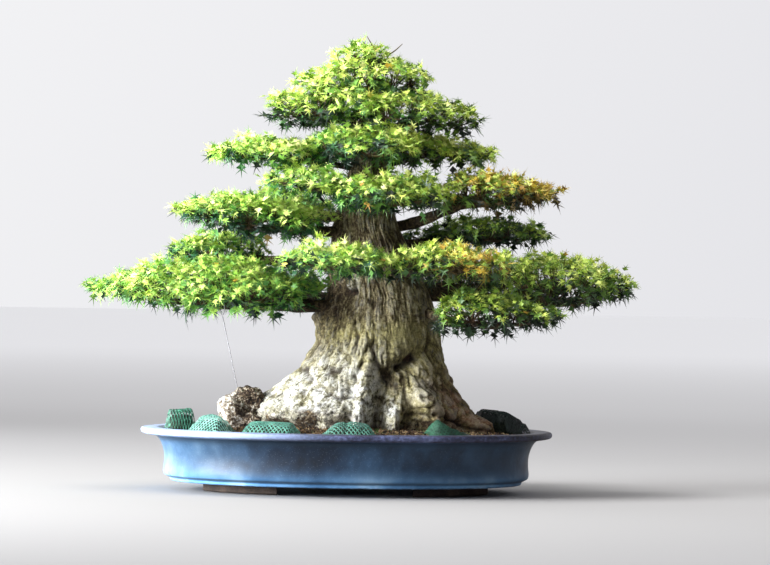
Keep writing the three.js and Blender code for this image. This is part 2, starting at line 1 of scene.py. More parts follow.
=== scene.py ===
from itertools import product
from math import pi, radians

import bpy
import numpy as np
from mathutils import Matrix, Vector


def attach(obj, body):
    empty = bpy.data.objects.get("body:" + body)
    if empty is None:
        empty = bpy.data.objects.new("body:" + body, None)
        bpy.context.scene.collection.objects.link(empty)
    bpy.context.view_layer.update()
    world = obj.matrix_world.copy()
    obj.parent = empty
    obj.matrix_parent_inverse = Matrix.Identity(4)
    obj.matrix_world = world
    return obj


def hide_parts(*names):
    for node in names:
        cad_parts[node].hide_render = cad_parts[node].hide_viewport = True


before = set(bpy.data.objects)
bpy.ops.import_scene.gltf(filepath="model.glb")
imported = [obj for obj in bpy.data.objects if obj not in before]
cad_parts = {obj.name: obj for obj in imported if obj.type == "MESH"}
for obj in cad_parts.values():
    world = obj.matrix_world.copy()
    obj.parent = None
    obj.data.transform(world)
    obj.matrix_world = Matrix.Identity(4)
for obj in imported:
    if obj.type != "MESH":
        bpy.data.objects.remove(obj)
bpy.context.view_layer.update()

# Camera: level with the lowest boughs, seven metres in front of the tree, and leaning a little to one side.
camera = bpy.data.objects.new("camera", bpy.data.cameras.new("camera"))
bpy.context.collection.objects.link(camera)
camera.data.sensor_width = 36
camera.data.lens = 182.7
camera.location = (0.0413, -6.8025, 0.3615)
camera.rotation_euler = (radians(90), radians(-0.9), 0)
bpy.context.scene.camera = camera


# Pot: a fired stoneware tray with a flared lip, a rounded belly and a narrow base band, dipped in a mottled
# blue glaze that runs thin and brown along its edges. It is one closed wall, with two drain holes in its floor.
POT = {"half_length": 355, "half_width": 275, "roundness": 2.15}
POT_PROFILE = [
    # how far inside the lip's rim, and height over what the feet stand on
    (150, 15), (57, 15), (51.5, 16), (50.5, 21.6), (46, 22.6), (44.5, 24.2), (40, 26.2), (38.6, 33),
    (40.5, 46), (40.5, 62), (37, 76), (31.5, 87), (25, 93.2), (9, 95.2), (1.5, 97.2), (-0.4, 101.5),
    (0.8, 105.6), (4.5, 107), (20, 107.3), (28.5, 107), (33, 105), (37.5, 98), (43, 88), (47.5, 62),
    (53, 41), (65, 29.4), (150, 29.2),
]
DRAIN = {"radius": 17, "apart": 300, "levels": (8, 36)}


def placed(points):
    """Millimetres from the middle of the pot, as all the sizes here are given, as metres in the tree's frame."""
    return (np.asarray(points, float) - (21, 42.5, 0)) / 1000


def shape(name, points, faces, smooth=True, **marks):
    """An object from an array of points, in millimetres, and arrays of their numbers, so many to a face.
    Each mark is a number or a place for every point, kept on the mesh under its own name."""
    sizes = np.concatenate([np.full(len(group), group.shape[1]) for group in faces])
    corners = np.concatenate([group.ravel() for group in faces])
    mesh = bpy.data.meshes.new(name)
    mesh.vertices.add(len(points))
    mesh.vertices.foreach_set("co", placed(points).astype(np.float32).ravel())
    mesh.loops.add(len(corners))
    mesh.loops.foreach_set("vertex_index", corners.astype(np.int32))
    mesh.polygons.add(len(sizes))
    mesh.polygons.foreach_set("loop_start", (np.cumsum(sizes) - sizes).astype(np.int32))
    mesh.update(calc_edges=True)
    mesh.polygons.foreach_set("use_smooth", np.full(len(sizes), smooth))
    for mark, values in marks.items():
        values = np.asarray(values, np.float32)
        kind, key = ("FLOAT", "value") if values.ndim == 1 else ("FLOAT_VECTOR", "vector")
        mesh.attributes.new(mark, kind, "POINT").data.foreach_set(key, values.ravel())
    made = bpy.data.objects.new(name, mesh)
    bpy.context.collection.objects.link(made)
    return made


def stacked(*parts):
    """Places or directions from their separate parts, each spread to the size of the others."""
    return np.stack(np.broadcast_arrays(*parts), axis=-1)


def ring_faces(rows, columns):
    """Faces of a stack of rings: each corner is joined to its neighbour and to the ring above. Rings that turn
    anticlockwise on the way up face outwards. The first and last ring are closed by one face each."""
    corner = np.arange(rows * columns).reshape(rows, columns)
    beside = np.roll(corner, -1, axis=1)
    sides = stacked(corner[:-1], beside[:-1], beside[1:], corner[1:]).reshape(-1, 4)
    return [sides, corner[:1, ::-1], corner[-1:]]


def ringed(name, rings, **marks):
    """A closed piece over a stack of rings of points, with its marks spread to the same rows and columns."""
    size = rings.shape[:2]
    for mark, values in marks.items():
        spread = np.broadcast_to(values, size + np.shape(values)[2:])
        marks[mark] = spread.reshape(-1, *spread.shape[2:])
    return shape(name, rings.reshape(-1, 3), ring_faces(*size), **marks)


def full_turn(count):
    """So many directions, evenly spaced, once round."""
    return np.linspace(0, 2 * pi, count, endpoint=False)


def rounded(line, times):
    """A line of points with its corners cut: every stretch keeps its middle half, again and again."""
    line = np.asarray(line, float)
    for _ in range(times):
        low, high = line[:-1], line[1:]
        cut = np.stack([0.75 * low + 0.25 * high, 0.25 * low + 0.75 * high], axis=1).reshape(-1, line.shape[1])
        line = np.concatenate([line[:1], cut, line[-1:]])
    return line


def oval(inset, turn):
    """The pot's oval in plan, drawn in by a distance: cosine and sine to the power 2/2.15, which fills out the
    corners of an ellipse a little."""
    c, s = np.cos(turn), np.sin(turn)
    power = 2 / POT["roundness"]
    x = (POT["half_length"] - inset) * np.sign(c) * np.abs(c) ** power
    y = (POT["half_width"] - inset) * np.sign(s) * np.abs(s) ** power
    return x, y


def grain(points, size, seed):
    """Smooth noise from -1 to 1: a random value at each corner of a lattice of cells of the given size, eased
    from corner to corner with 3t^2 - 2t^3."""
    cell = np.asarray(points, float) / size
    low = np.floor(cell).astype(np.int64)
    ease = cell - low
    ease = ease * ease * (3 - 2 * ease)
    total = np.zeros(cell.shape[:-1])
    for corner in product((0, 1), repeat=3):
        at = low + corner
        mixed = (at[..., 0] * 73856093) ^ (at[..., 1] * 19349663) ^ (at[..., 2] * 83492791) ^ (seed * 265443)
        mixed = ((mixed ^ (mixed >> 13)) * 1274126177) & 0xFFFFFFFF
        value = ((mixed ^ (mixed >> 16)) & 0xFFFF) / 32767.5 - 1
        total += value * np.prod(np.where(corner, ease, 1 - ease), axis=-1)
    return total


def hump(distance, width):
    """A smooth hump, 1 at no distance and falling off as a bell of the given width."""
    return np.exp(-((distance / width) ** 2))


def risen(value, low, high):
    """How far a value has come from low to high, from 0 to 1 in a straight line."""
    return np.clip((value - low) / (high - low), 0, 1)


def paint(code):
    """A colour written #rrggbb, as linear light."""
    parts = [int(code[k : k + 2], 16) / 255 for k in (1, 3, 5)]
    return (*(((p + 0.055) / 1.055) ** 2.4 if p > 0.04045 else p / 12.92 for p in parts), 1.0)


def operator(operation):
    """The two methods of an operator on tones: as written, and reflected, with the tone on its right."""

    def plain(self, other):
        return self.math(operation, self, other)

    def reflected(self, other):
        return self.math(operation, other, self)

    return plain, reflected


class Tone:
    """A number, place or colour that changes over a finish. Arithmetic on it adds Math nodes."""

    def __init__(self, tree, socket=None):
        self.tree = tree
        self.socket = socket

    def node(self, kind, settings, sockets, out=0):
        """A node of a type, its settings first, then the values or links of its sockets. Gives one output."""
        made = self.tree.nodes.new(kind)
        for key, value in settings.items():
            if key == "stops":
                stops = made.color_ramp.elements
                while len(stops) < len(value):
                    stops.new(0.5)
                for stop, (at, colour) in zip(stops, value):
                    stop.position = at
                    stop.color = paint(colour)
            else:
                setattr(made, key, value)
        for key, value in sockets.items():
            if isinstance(value, Tone):
                self.tree.links.new(value.socket, made.inputs[key])
            else:
                made.inputs[key].default_value = value
        return Tone(self.tree, made.outputs[out])

    def math(self, operation, first, second, clamped=False):
        return self.node("ShaderNodeMath", {"operation": operation, "use_clamp": clamped}, {0: first, 1: second})

    __add__, __radd__ = operator("ADD")
    __sub__, __rsub__ = operator("SUBTRACT")
    __mul__, __rmul__ = operator("MULTIPLY")
    __truediv__, __rtruediv__ = operator("DIVIDE")
    __pow__, __rpow__ = operator("POWER")

    def within(self):
        """The same number, held between 0 and 1."""
        return self.math("ADD", self, 0.0, clamped=True)

    def stretched(self, x, y, z):
        """The same place, with each axis scaled."""
        return self.node("ShaderNodeVectorMath", {"operation": "MULTIPLY"}, {0: self, 1: (x, y, z)})

    def noise(self, per_metre, detail=3.0, rough=0.55, bent=0.0):
        """Cloudy noise at this place, from 0 to 1, with so many clouds to the metre."""
        sockets = {"Vector": self, "Scale": per_metre, "Detail": detail, "Roughness": rough, "Distortion": bent}
        return self.node("ShaderNodeTexNoise", {}, sockets)

    def cells(self, per_metre):
        """Distance from this place to the nearest of many scattered points, as a share of their spacing."""
        return self.node("ShaderNodeTexVoronoi", {}, {"Vector": self, "Scale": per_metre})

    def between(self, low, high):
        """How far this number has come from low to high, from 0 to 1, eased."""
        sockets = {"Value": self, "From Min": low, "From Max": high}
        return self.node("ShaderNodeMapRange", {"interpolation_type": "SMOOTHSTEP"}, sockets)

    def ramp(self, *stops):
        """A colour that follows this number through the given stops."""
        return self.node("ShaderNodeValToRGB", {"stops": stops}, {"Fac": self})

    def blend(self, here, there):
        """One colour where this number is 0 or less, and another where it is 1 or more."""
        here, there = (paint(colour) if isinstance(colour, str) else colour for colour in (here, there))
        return self.node("ShaderNodeMix", {"data_type": "RGBA"}, {0: self, 6: here, 7: there}, 2)


class Finish:
    """A material: the shader, and at, the place on the piece in metres, by which its tones change."""

    def __init__(self, name, **constants):
        self.material = bpy.data.materials.new(name)
        self.material.use_nodes = True
        self.tree = self.material.node_tree
        self.shader = self.tree.nodes["Principled BSDF"]
        for key, value in constants.items():
            self.shader.inputs[key.replace("_", " ").title().replace("Ior", "IOR")].default_value = value
        self.at = Tone(self.tree).node("ShaderNodeTexCoord", {}, {}, "Object")

    def mark(self, name, kind="Fac"):
        """What the mesh keeps under this name: a number, or a place where the kind is Vector."""
        return Tone(self.tree).node("ShaderNodeAttribute", {"attribute_name": name}, {}, kind)

    def vary(self, colour=None, roughness=None, height=None, depth=0.001):
        """Links what changes over the surface: its colour, its roughness, and the height of its relief."""
        if colour:
            self.tree.links.new(colour.socket, self.shader.inputs["Base Color"])
        if roughness:
            self.tree.links.new(roughness.socket, self.shader.inputs["Roughness"])
        if height:
            relief = height.node("ShaderNodeBump", {}, {"Strength": 1.0, "Distance": depth, "Height": height})
            self.tree.links.new(relief.socket, self.shader.inputs["Normal"])


def finished(piece, material, slot, *nodes):
    """Gives a piece its material, seats it on the tree's one body, and hides the model's parts that it stands
    for. The slot is not used.
    """
    piece.data.materials.clear()
    piece.data.materials.append(material)
    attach(piece, "root")
    if nodes:
        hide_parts(*nodes)


# One ring for each point of the profile, a little uneven, as pressed and fired clay is.
inset, height = rounded(POT_PROFILE, 2).T[..., None]
across, deep = oval(inset, full_turn(180))
uneven = 1 + 0.5 * grain(stacked(across, deep, height), 70, 3) / POT["half_length"]
across, deep = across * uneven, deep * uneven


def glaze_band(level, spread, strength=1.0, inside=200, below=120):
    """Where the glaze differs in a band round the pot: a bell over the height, on the part of the wall that
    lies less than so far inside the lip's rim and below a height."""
    return strength * hump(height - level, spread) * (inset < inside) * (height < below)


# It is worn thin on the lip's two edges, at the foot of the band and under the lip, and pools darker in the
# grooves, with a band of painted shadow under the lip's overhang.
worn_edges = glaze_band(96.4, 1.6, inside=12) + glaze_band(106.6, 1.2, 0.75, inside=8)
worn_edges = worn_edges + glaze_band(16.2, 1.2, 0.8) + glaze_band(92, 1.5, 0.3)
pot = ringed(
    "glazed_pot",
    stacked(across, deep, height),
    worn=np.clip(worn_edges, 0, 1),
    lip=risen(height, 93.5, 96.5) * (inset < 36),
    side=risen(across, -350, 350),
    belly=risen(height, 62, 12),
    pooled=glaze_band(23.6, 2.0, inside=60) + glaze_band(90, 4, 0.7, inside=40, below=94),
)
drills = []
for side in (-1, 1):
    around = full_turn(32)
    x, y = side * DRAIN["apart"] / 2 + DRAIN["radius"] * np.cos(around), DRAIN["radius"] * np.sin(around)
    drills.append(ringed("drill", stacked(x, y, np.array(DRAIN["levels"])[:, None])))
    bored = pot.modifiers.new("drain_hole", "BOOLEAN")
    bored.object, bored.solver = drills[-1], "MANIFOLD"
bored_mesh = bpy.data.meshes.new_from_object(pot.evaluated_get(bpy.context.evaluated_depsgraph_get()))
pot.modifiers.clear()
pot.data = bored_mesh
for drill in drills:
    bpy.data.objects.remove(drill)

glaze = Finish("blue_glaze", coat_weight=0.08, coat_roughness=0.3, specular_ior_level=0.25)
marks = ("side", "belly", "lip", "worn", "pooled")
rightward, bellied, lipped, worn, pooled = (glaze.mark(mark) for mark in marks)
cloud = glaze.at.noise(7, 3, 0.5, 0.3)
fleck = glaze.at.noise(170, 3, 0.65)
drift = glaze.at.stretched(1, 1, 0.8).noise(34, 3, 0.55, 0.3)
mottle = 0.6 * cloud + 0.4 * drift
deep_blue = mottle.ramp(
    (0.30, "#0a111a"), (0.42, "#142233"), (0.54, "#1f3348"), (0.66, "#2d4660"), (0.8, "#486782")
)
ice_blue = mottle.ramp((0.3, "#4079b0"), (0.5, "#74a9da"), (0.7, "#b4d9f5"))
# Painted light: the left end is painted paler, ice blue, as a highlight of the light at the left, and the lower
# belly is painted paler, as light caught from below.
near_end = rightward.between(0.36, 0.02)
pale_share = 0.31 * near_end**2 + 0.12 * near_end * bellied
painted_belly_light = bellied**1.3 * (0.45 + 0.9 * cloud)
pale_share = pale_share + 1.5 * bellied**2 * painted_belly_light * (1.2 - 0.5 * rightward)
body_blue = pale_share.blend(deep_blue, ice_blue)
# A little paler grey-blue towards the right end.
right_end_paling = 0.05 * rightward.between(0.6, 0.95) * (0.3 + 1.4 * cloud)
body_blue = right_end_paling.blend(body_blue, "#7b90a4")
# The lip is painted darker towards the right, as painted shade, and paler at its left end, as a painted
# highlight.
lip_blue = (0.5 * cloud + 0.5 * fleck - 0.2 * rightward + 0.03).ramp(
    (0.26, "#15161f"), (0.38, "#31344d"), (0.5, "#565d80"), (0.62, "#7d88a8"), (0.75, "#a3b0ca")
)
lip_blue = (0.9 * rightward.between(0.52, 0.05)).blend(lip_blue, "#b5caf0")
coloured = lipped.blend(body_blue, lip_blue)
dots = glaze.at.cells(420).between(0.16, 0.06)
coloured = (0.35 * dots).blend(coloured, "#b4c6d4")
# Darker where the glaze pools in the grooves, and painted shadow in a band under the lip.
coloured = (0.7 * pooled).blend(coloured, "#23323f")
rub = (worn * glaze.at.noise(60, 4, 0.65).between(0.30, 0.62) * (0.35 + 0.9 * rightward)).within()
coloured = (0.85 * rub).blend(coloured, "#2e2527")
glaze.vary(coloured, 0.42 + 0.16 * fleck + 0.3 * rub, 0.6 * drift + 0.4 * fleck, 0.0006)
finished(pot, glaze.material, "pot_glaze", "pot")

# Feet: four corner feet of bare brown clay under the pot, in a ring set well in, with the gaps between them
# that let water run out and fingers reach under.
FOOT = {"inset": 98, "wide": 26, "gap_long": 115, "gap_short": 62, "high": 16, "steps": 28}
FOOT_SECTION = [(0, 1), (0, 0.12), (0.1, 0), (0.9, 0), (1, 0.12), (1, 1)]  # shares of its width and height


def foot_corner(x_sign, y_sign):
    """One foot: the stretch of a ring between two ovals from where it leaves one gap to where it meets the
    other, carrying a box section whose lower edges are rounded."""
    share = np.linspace(0, 1, FOOT["steps"])[:, None]
    part, lift = np.array(FOOT_SECTION).T
    drawn = FOOT["inset"] + FOOT["wide"] * part
    power = POT["roundness"] / 2
    start = np.arccos((FOOT["gap_long"] / (POT["half_length"] - drawn)) ** power)
    end = np.arcsin((FOOT["gap_short"] / (POT["half_width"] - drawn)) ** power)
    x, y = oval(drawn, start + (end - start) * share)
    points = stacked(x_sign * x, y_sign * y, FOOT["high"] * lift)
    return points[::-1] if x_sign * y_sign > 0 else points


def copied(faces, corners, copies):
    """Faces of so many like pieces, whose points follow one another, so many to a piece."""
    shift = (corners * np.arange(copies))[:, None, None]
    return [(group + shift).reshape(-1, group.shape[1]) for group in faces]


corners = np.concatenate([foot_corner(x, y) for x in (-1, 1) for y in (-1, 1)]).reshape(-1, 3)
foot_faces = ring_faces(FOOT["steps"], len(FOOT_SECTION))
feet = shape("pot_feet", corners, copied(foot_faces, len(corners) // 4, 4), smooth=False)
clay = Finish("bare_clay")
grit = clay.at.noise(420, 4, 0.7)
clay.vary(
    (0.5 * grit + 0.5 * clay.at.noise(38, 3)).ramp((0.32, "#241d19"), (0.5, "#433730"), (0.68, "#65564a")),
    0.8 + 0.15 * grit,
    grit,
    0.0008,
)
finished(feet, clay.material, "pot_glaze", "pot")

# Drain screens: squares of black plastic mesh that keep the soil in over the two drain holes.
screen_plastic = Finish("screen_plastic")
dusty = screen_plastic.at.noise(260, 3)
screen_plastic.vary(dusty.ramp((0.35, "#1b1f22"), (0.6, "#2c3033"), (0.8, "#4a443c")), 0.4 + 0.4 * dusty)
for name in ("drain_screen_left", "drain_screen_right"):
    finished(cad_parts[name], screen_plastic.material, "drain_screen")

# Soil: moist clay granules that fill the pot to its lip and rise towards the roots, with moss and fallen
# crumbs in between. A crumbly top is one surface, and some thousand granules lie loose in it.
SOIL_EDGE = 37.7
SOIL_HEIGHTS = [(0, 112), (0.42, 112), (0.74, 106), (1, 99)]
chance = np.random.default_rng(7)


def soil_height(x, y):
    """Height of the soil by its share of the way from the middle to the wall: flat, then two slopes."""
    a, b = POT["half_length"] - SOIL_EDGE, POT["half_width"] - SOIL_EDGE
    power = POT["roundness"]
    share = (np.abs(x / a) ** power + np.abs(y / b) ** power) ** (1 / power)
    return np.interp(share, *zip(*SOIL_HEIGHTS))


# The rings run in from the wall, after two that go down inside it, and lumps of three sizes roughen the top.
share = np.concatenate([[1, 1], np.linspace(1, 0.02, 74)])[:, None]
across, deep = (share * half for half in oval(SOIL_EDGE, full_turn(260)))
spot = stacked(across, deep, 0.0)
crumbs = 1.6 * grain(spot, 16, 11) + 1.3 * grain(spot, 6, 12) + 0.9 * grain(spot, 3.2, 13)
level = soil_height(across, deep) + crumbs * np.clip((1 - share) / 0.03, 0, 1)
level[0], level[1] = 62, 97
across[0], deep[0] = across[0] * 0.955, deep[0] * 0.945
soil = ringed("soil_top", stacked(across, deep, level))
earth = Finish("moist_soil", roughness=0.95)
clod = earth.at.cells(260)
crumb = earth.at.noise(330, 4, 0.7)
moss = (earth.at.noise(13, 4, 0.6, 0.5) + 0.25 * earth.at.noise(120, 3)).between(0.60, 0.74)
brown = (0.6 * crumb + 0.6 * clod).ramp((0.25, "#17110c"), (0.45, "#3a2a1d"), (0.62, "#5d452f"), (0.8, "#8a6c4b"))
green = (0.6 * crumb + 0.4 * earth.at.noise(700, 2)).ramp((0.3, "#1f2b12"), (0.5, "#46582a"), (0.7, "#7a8a45"))
earth.vary(moss.blend(brown, green), height=0.6 * crumb + 0.6 * clod, depth=0.003)
finished(soil, earth.material, "soil", "soil")

# Each granule has six corners and eight faces. It is turned about the upright and roughened.
GRANULES = 5200
turn = chance.uniform(0, 2 * pi, GRANULES)
share = np.sqrt(chance.uniform(0.16, 0.965, GRANULES))
across, deep = (share * half for half in oval(SOIL_EDGE, turn))
size = chance.uniform(1.1, 3.1, GRANULES)[:, None, None] * chance.uniform(0.7, 1.2, (GRANULES, 1, 3))
octahedron = np.array([(1, 0, 0), (0, 1, 0), (-1, 0, 0), (0, -1, 0), (0, 0, -1), (0, 0, 1)], float)
octants = np.array([(k, (k + 1) % 4, 5) for k in range(4)] + [((k + 1) % 4, k, 4) for k in range(4)])
spin = chance.uniform(0, 2 * pi, GRANULES)[:, None]
x, y, z = octahedron.T
turned = stacked(x * np.cos(spin) - y * np.sin(spin), x * np.sin(spin) + y * np.cos(spin), z)
turned = turned * size * (1 + 0.25 * chance.uniform(-1, 1, (GRANULES, 6, 1)))
middle = stacked(across, deep, soil_height(across, deep) + 1.2)
granules = shape(
    "soil_granules",
    (turned + middle[:, None]).reshape(-1, 3),
    copied([octants], 6, GRANULES),
    smooth=False,
    tint=np.repeat(chance.uniform(0, 1, GRANULES), 6),
)
granule = Finish("clay_granule", roughness=0.95)
granule.vary(
    (0.85 * granule.mark("tint") + 0.15 * granule.at.noise(900, 2)).ramp(
        (0.0, "#120d09"), (0.35, "#35261a"), (0.6, "#5b432d"), (0.8, "#7d6442"), (0.95, "#a08e6c")
    )
)
finished(granules, granule.material, "soil", "soil")

# Trunk: pale old wood, wide and buttressed at its foot, where it runs out into surface roots, creased and
# hollowed above them, and dark and cracked towards the boughs. It stands in the soil.
TRUNK_LINE = [
    # height, middle across and deep, half-width, half-depth
    (92, 48, 8, 100, 92), (140, 50, 8, 100, 90), (210, 54, 8, 98, 86), (276, 55, 6, 97, 80),
    (345, 54, 4, 84, 68), (400, 42, 4, 71, 57), (457, 26, 4, 56, 46), (500, 26, 2, 43, 37),
    (560, 30, 0, 32, 29), (640, 37, -2, 21, 20), (700, 41, 0, 12, 12), (748, 38, 4, 5, 5),
]
ROOTS = [
    # direction in degrees from the right, reach past the trunk, height at which half is left, spread
    (-14, 46, 22, 8), (-8, 60, 86, 16), (26, 60, 62, 14), (62, 62, 84, 15), (100, 74, 78, 16), (140, 70, 66, 14),
    (182, 116, 78, 17), (212, 92, 84, 22), (241, 42, 66, 12), (259, 56, 62, 6.5), (284, 44, 40, 7),
    (318, 58, 66, 22),
]
BURRS = [
    # direction, height, width in degrees, height over which it spreads, how far it stands out
    (307, 164, 10, 20, 18), (277, 200, 9, 14, -14), (296, 219, 12, 11, -17), (322, 240, 14, 14, -10),
    (230, 116, 24, 12, -14), (302, 116, 13, 12, -14), (233, 357, 9, 12, 9), (250, 470, 20, 26, 7),
    (192, 252, 22, 20, -11), (184, 302, 18, 13, 16),
]
HOLLOWS = [
    # width, depth, and the directions and heights of its line
    (9, 15, [(277, 199), (284, 203), (292, 213), (302, 221), (312, 234)]),
    (5, 4, [(262, 255), (266, 230), (273, 207), (281, 190), (290, 184)]),
    (6.5, 10, [(272, 186), (272, 150), (270, 112)]), (6, 10, [(295, 104), (297, 136), (303, 146)]),
    (6, 9, [(249, 104), (250, 128), (252, 146)]), (6, 8, [(312, 104), (318, 122), (326, 130)]),
    (3.5, 4, [(333, 292), (328, 250), (334, 205), (346, 160), (350, 120)]),
    (3, 4, [(198, 214), (214, 192), (232, 178), (252, 172)]),
    (3, 4, [(238, 305), (246, 262), (241, 225), (228, 204)]),
    (4, 6, [(304, 140), (318, 134), (332, 124), (340, 112)]), (5, 7, [(221, 352), (228, 345), (238, 344)]),
    (5, 6, [(206, 330), (214, 300), (212, 270)]), (4, 5, [(255, 330), (266, 322), (282, 326)]),
    (6, 8, [(60, 190), (72, 215), (70, 250)]), (5, 7, [(120, 160), (126, 200), (118, 236)]),
]
KNOBS = [
    # direction, height, how wide, how far it stands out
    (222, 124, 9, 7), (236, 128, 8, 7), (209, 128, 9, 6), (248, 140, 8, 7), (291, 152, 9, 6), (262, 176, 7, 5),
    (198, 120, 8, 6), (312, 122, 9, 6), (330, 118, 10, 7), (346, 128, 9, 6), (226, 196, 12, 5), (205, 176, 12, 5),
    (244, 188, 10, 4), (190, 196, 12, 5), (278, 128, 8, 5), (320, 205, 12, 4), (213, 226, 12, 4),
    (343, 124, 12, 9),
]
EYES = [
    # direction, height, how wide, how far its ring stands out
    (307, 166, 17, 5.5), (233, 359, 13, 6), (247, 378, 11, 4), (331, 196, 12, 4), (286, 302, 8, 3),
    (120, 250, 20, 5), (40, 210, 18, 5), (80, 340, 14, 4), (150, 200, 14, 4),
]
SOIL_LINE = 112
BARK_RINGS, RING_POINTS = 214, 304


def along_trunk(z):
    """Middle line and half-widths of the trunk at a height, drawn straight between the levels and then eased
    by averaging over 12 mm up and down."""
    levels = np.array(TRUNK_LINE, float)
    reach = [(0.25, -12), (0.5, 0), (0.25, 12)]
    return [sum(w * np.interp(z + dz, levels[:, 0], levels[:, k]) for w, dz in reach) for k in (1, 2, 3, 4)]


def turn_from(start, degrees):
    """The turn from one direction to another, from -180 to 180 degrees."""
    return (degrees - start + 180) % 360 - 180


def bark_radius(degrees, z):
    """Distance from the middle line to the bark: an ellipse, plus reach/(1 + up^3) times a bell round each
    root's direction, plus a bell in direction and height for each burr."""
    _, _, half_width, half_depth = along_trunk(z)
    turn = np.radians(degrees)
    radius = 1 / np.hypot(np.cos(turn) / half_width, np.sin(turn) / half_depth)
    for at, reach, knee, spread in ROOTS:
        up = np.maximum(0, z - SOIL_LINE + 8) / knee
        radius = radius + reach / (1 + up**3) * hump(turn_from(at, degrees), spread * (1 + 0.2 * up))
    for at, level, wide, high, out in BURRS:
        radius = radius + out * hump(turn_from(at, degrees), wide) * hump(z - level, high)
    return radius


def bark_points(degrees, z, radius):
    """The points at a distance from the trunk's middle line, by direction and height."""
    middle_x, middle_y, _, _ = along_trunk(z)
    turn = np.radians(degrees)
    return stacked(middle_x + radius * np.cos(turn), middle_y + radius * np.sin(turn), z)


def creased(points, size, seed):
    """Noise from -0.6 to 0.4 with sharp valleys and round backs: the height of smooth noise either side of 0."""
    return np.minimum(1, 2.6 * np.abs(grain(points, size, seed))) - 0.6


def from_line(line, degrees, z):
    """Distance over the bark, in millimetres, from a broken line of directions and heights."""
    nearest = np.full(np.broadcast(degrees, z).shape, 1e3)
    for (turn, low), (next_turn, high) in zip(line, line[1:]):
        across, up = 2.3 * turn_from(turn, degrees), z - low
        run, rise = 2.3 * (next_turn - turn), high - low
        share = np.clip((across * run + up * rise) / (run**2 + rise**2), 0, 1)
        nearest = np.minimum(nearest, np.hypot(across - share * run, up - share * rise))
    return nearest


# Rings lie closer together towards the foot, and their points closer together towards the front.
foot, tip = TRUNK_LINE[0][0], TRUNK_LINE[-1][0]
z = foot + (tip - foot) * (np.linspace(0, 1, BARK_RINGS)[:, None] ** 1.45)
share = 2 * np.arange(RING_POINTS) / RING_POINTS - 1
degrees = 270 + 180 * (share - 0.42 * np.sin(pi * share) / pi)
radius = bark_radius(degrees, z)
slim = np.clip(along_trunk(z)[2] / 90, 0.12, 1)
skin = bark_points(degrees, z, radius)


def facing(direction, spread):
    """Where the bark faces a direction: a bell so many degrees wide."""
    return hump(turn_from(direction, degrees), spread)


def off(direction, level, per_degree):
    """Distance over the bark from a spot, in millimetres, with so many to a degree."""
    return np.hypot(per_degree * turn_from(direction, degrees), z - level)


# The creases follow the flare, so they are worked out on a straight column and wander a little as they rise.
wander = np.radians(degrees + 7 * grain(skin, 70, 26) + 3 * grain(skin, 24, 27))
column_radius, column_rise = 105, 0.32
column = stacked(column_radius * np.cos(wander), column_radius * np.sin(wander), column_rise * z)
low_part = 1 - risen(z, 190, 320)
fine = (2.2 + 1.0 * low_part) * creased(column, 15, 22) + 1.7 * creased(column, 7, 23)
fine = fine + (1.2 + 2.2 * low_part) * creased(skin, 13, 24)
fine = fine + (0.9 + 0.7 * low_part) * creased(skin * (1, 1, 0.6), 6, 25)
smooth_patch = facing(298, 26) * hump(z - 275, 45)
fine = fine * (1 - 0.75 * smooth_patch)

# Height of the old bark over the smooth flare: broad lumps and creases, grooves, knobs, and rings round eyes.
old = 4.6 * grain(skin * (1, 1, 0.7), 52, 21) + 3.4 * low_part * grain(skin, 24, 28) + fine
hollow, eye = np.zeros_like(radius), np.zeros_like(radius)
for wide, depth, line in HOLLOWS:
    aside = from_line(line, degrees, z) + 4 * grain(skin, 13, 29)
    groove = hump(aside, wide) * np.clip(0.75 + 0.9 * grain(skin, 26, 30), 0.15, 1)
    old = old - depth * groove
    hollow = np.maximum(hollow, groove * min(1, depth / 6))
for direction, level, wide, out in KNOBS:
    old = old + out * hump(off(direction, level, 2.2), wide)
for direction, level, wide, out in EYES:
    away = off(direction, level, 2.1)
    old = old + out * (hump(away - wide * 0.62, wide * 0.26) - 0.7 * hump(away, wide * 0.3))
    eye = np.maximum(eye, hump(away, wide * 0.75))

# Pale on the roots and at a scar, partly weathered wood and partly painted light on the faces of the left root
# mass and the front buttresses that turn to the light at the left; reddish at the right; painted shade under the
# flare, on the left under the low left bough and beside the big hollow; dark towards the boughs.
scar = hump(off(234, 358, 2), 19)
# Cream on the roots and at a scar, partly weathered wood and partly painted light on faces turned to the left.
pale = facing(222, 47) * (1 - risen(z, 172, 272)) + 0.9 * facing(260, 8) * (1 - risen(z, 165, 225))
pale = pale + 0.8 * facing(284, 6) * (1 - risen(z, 150, 180)) + scar + 0.3 * hump(off(312, 176, 1.6), 22)
# Painted shade under the flare, where it overhangs the soil.
beneath = facing(220, 34) * risen(146 + 12 * grain(skin, 24, 35) - z, 0, 12)
beneath = beneath + facing(302, 26) * risen(130 + 6 * grain(skin, 20, 36) - z, 0, 12)
# Painted shade on the left under the low left bough, and beside the big hollow.
dusk = facing(212, 15) * risen(z, 265, 295) + 0.75 * facing(194, 15) * risen(z, 200, 230)
dusk = dusk + 0.9 * hump(off(286, 196, 1.7), 26)
trunk = ringed(
    "trunk_bark",
    bark_points(degrees, z, radius + old * slim),
    valley=risen(fine, 0, -2.6),
    ridge=risen(fine, 0.5, 2.1),
    hollow=np.clip(hollow, 0, 1),
    pale=np.clip(pale, 0, 1),
    sleek=np.clip(smooth_patch + 0.5 * eye, 0, 1),
    warm=np.clip(facing(340, 26) * (1 - risen(z, 170, 230)), 0, 1),
    beneath=np.clip(beneath, 0, 1),
    dusk=np.clip(dusk, 0, 1),
    fibre=column / 1000,
    up=risen(z, 262, 322) * (1 - scar),
)


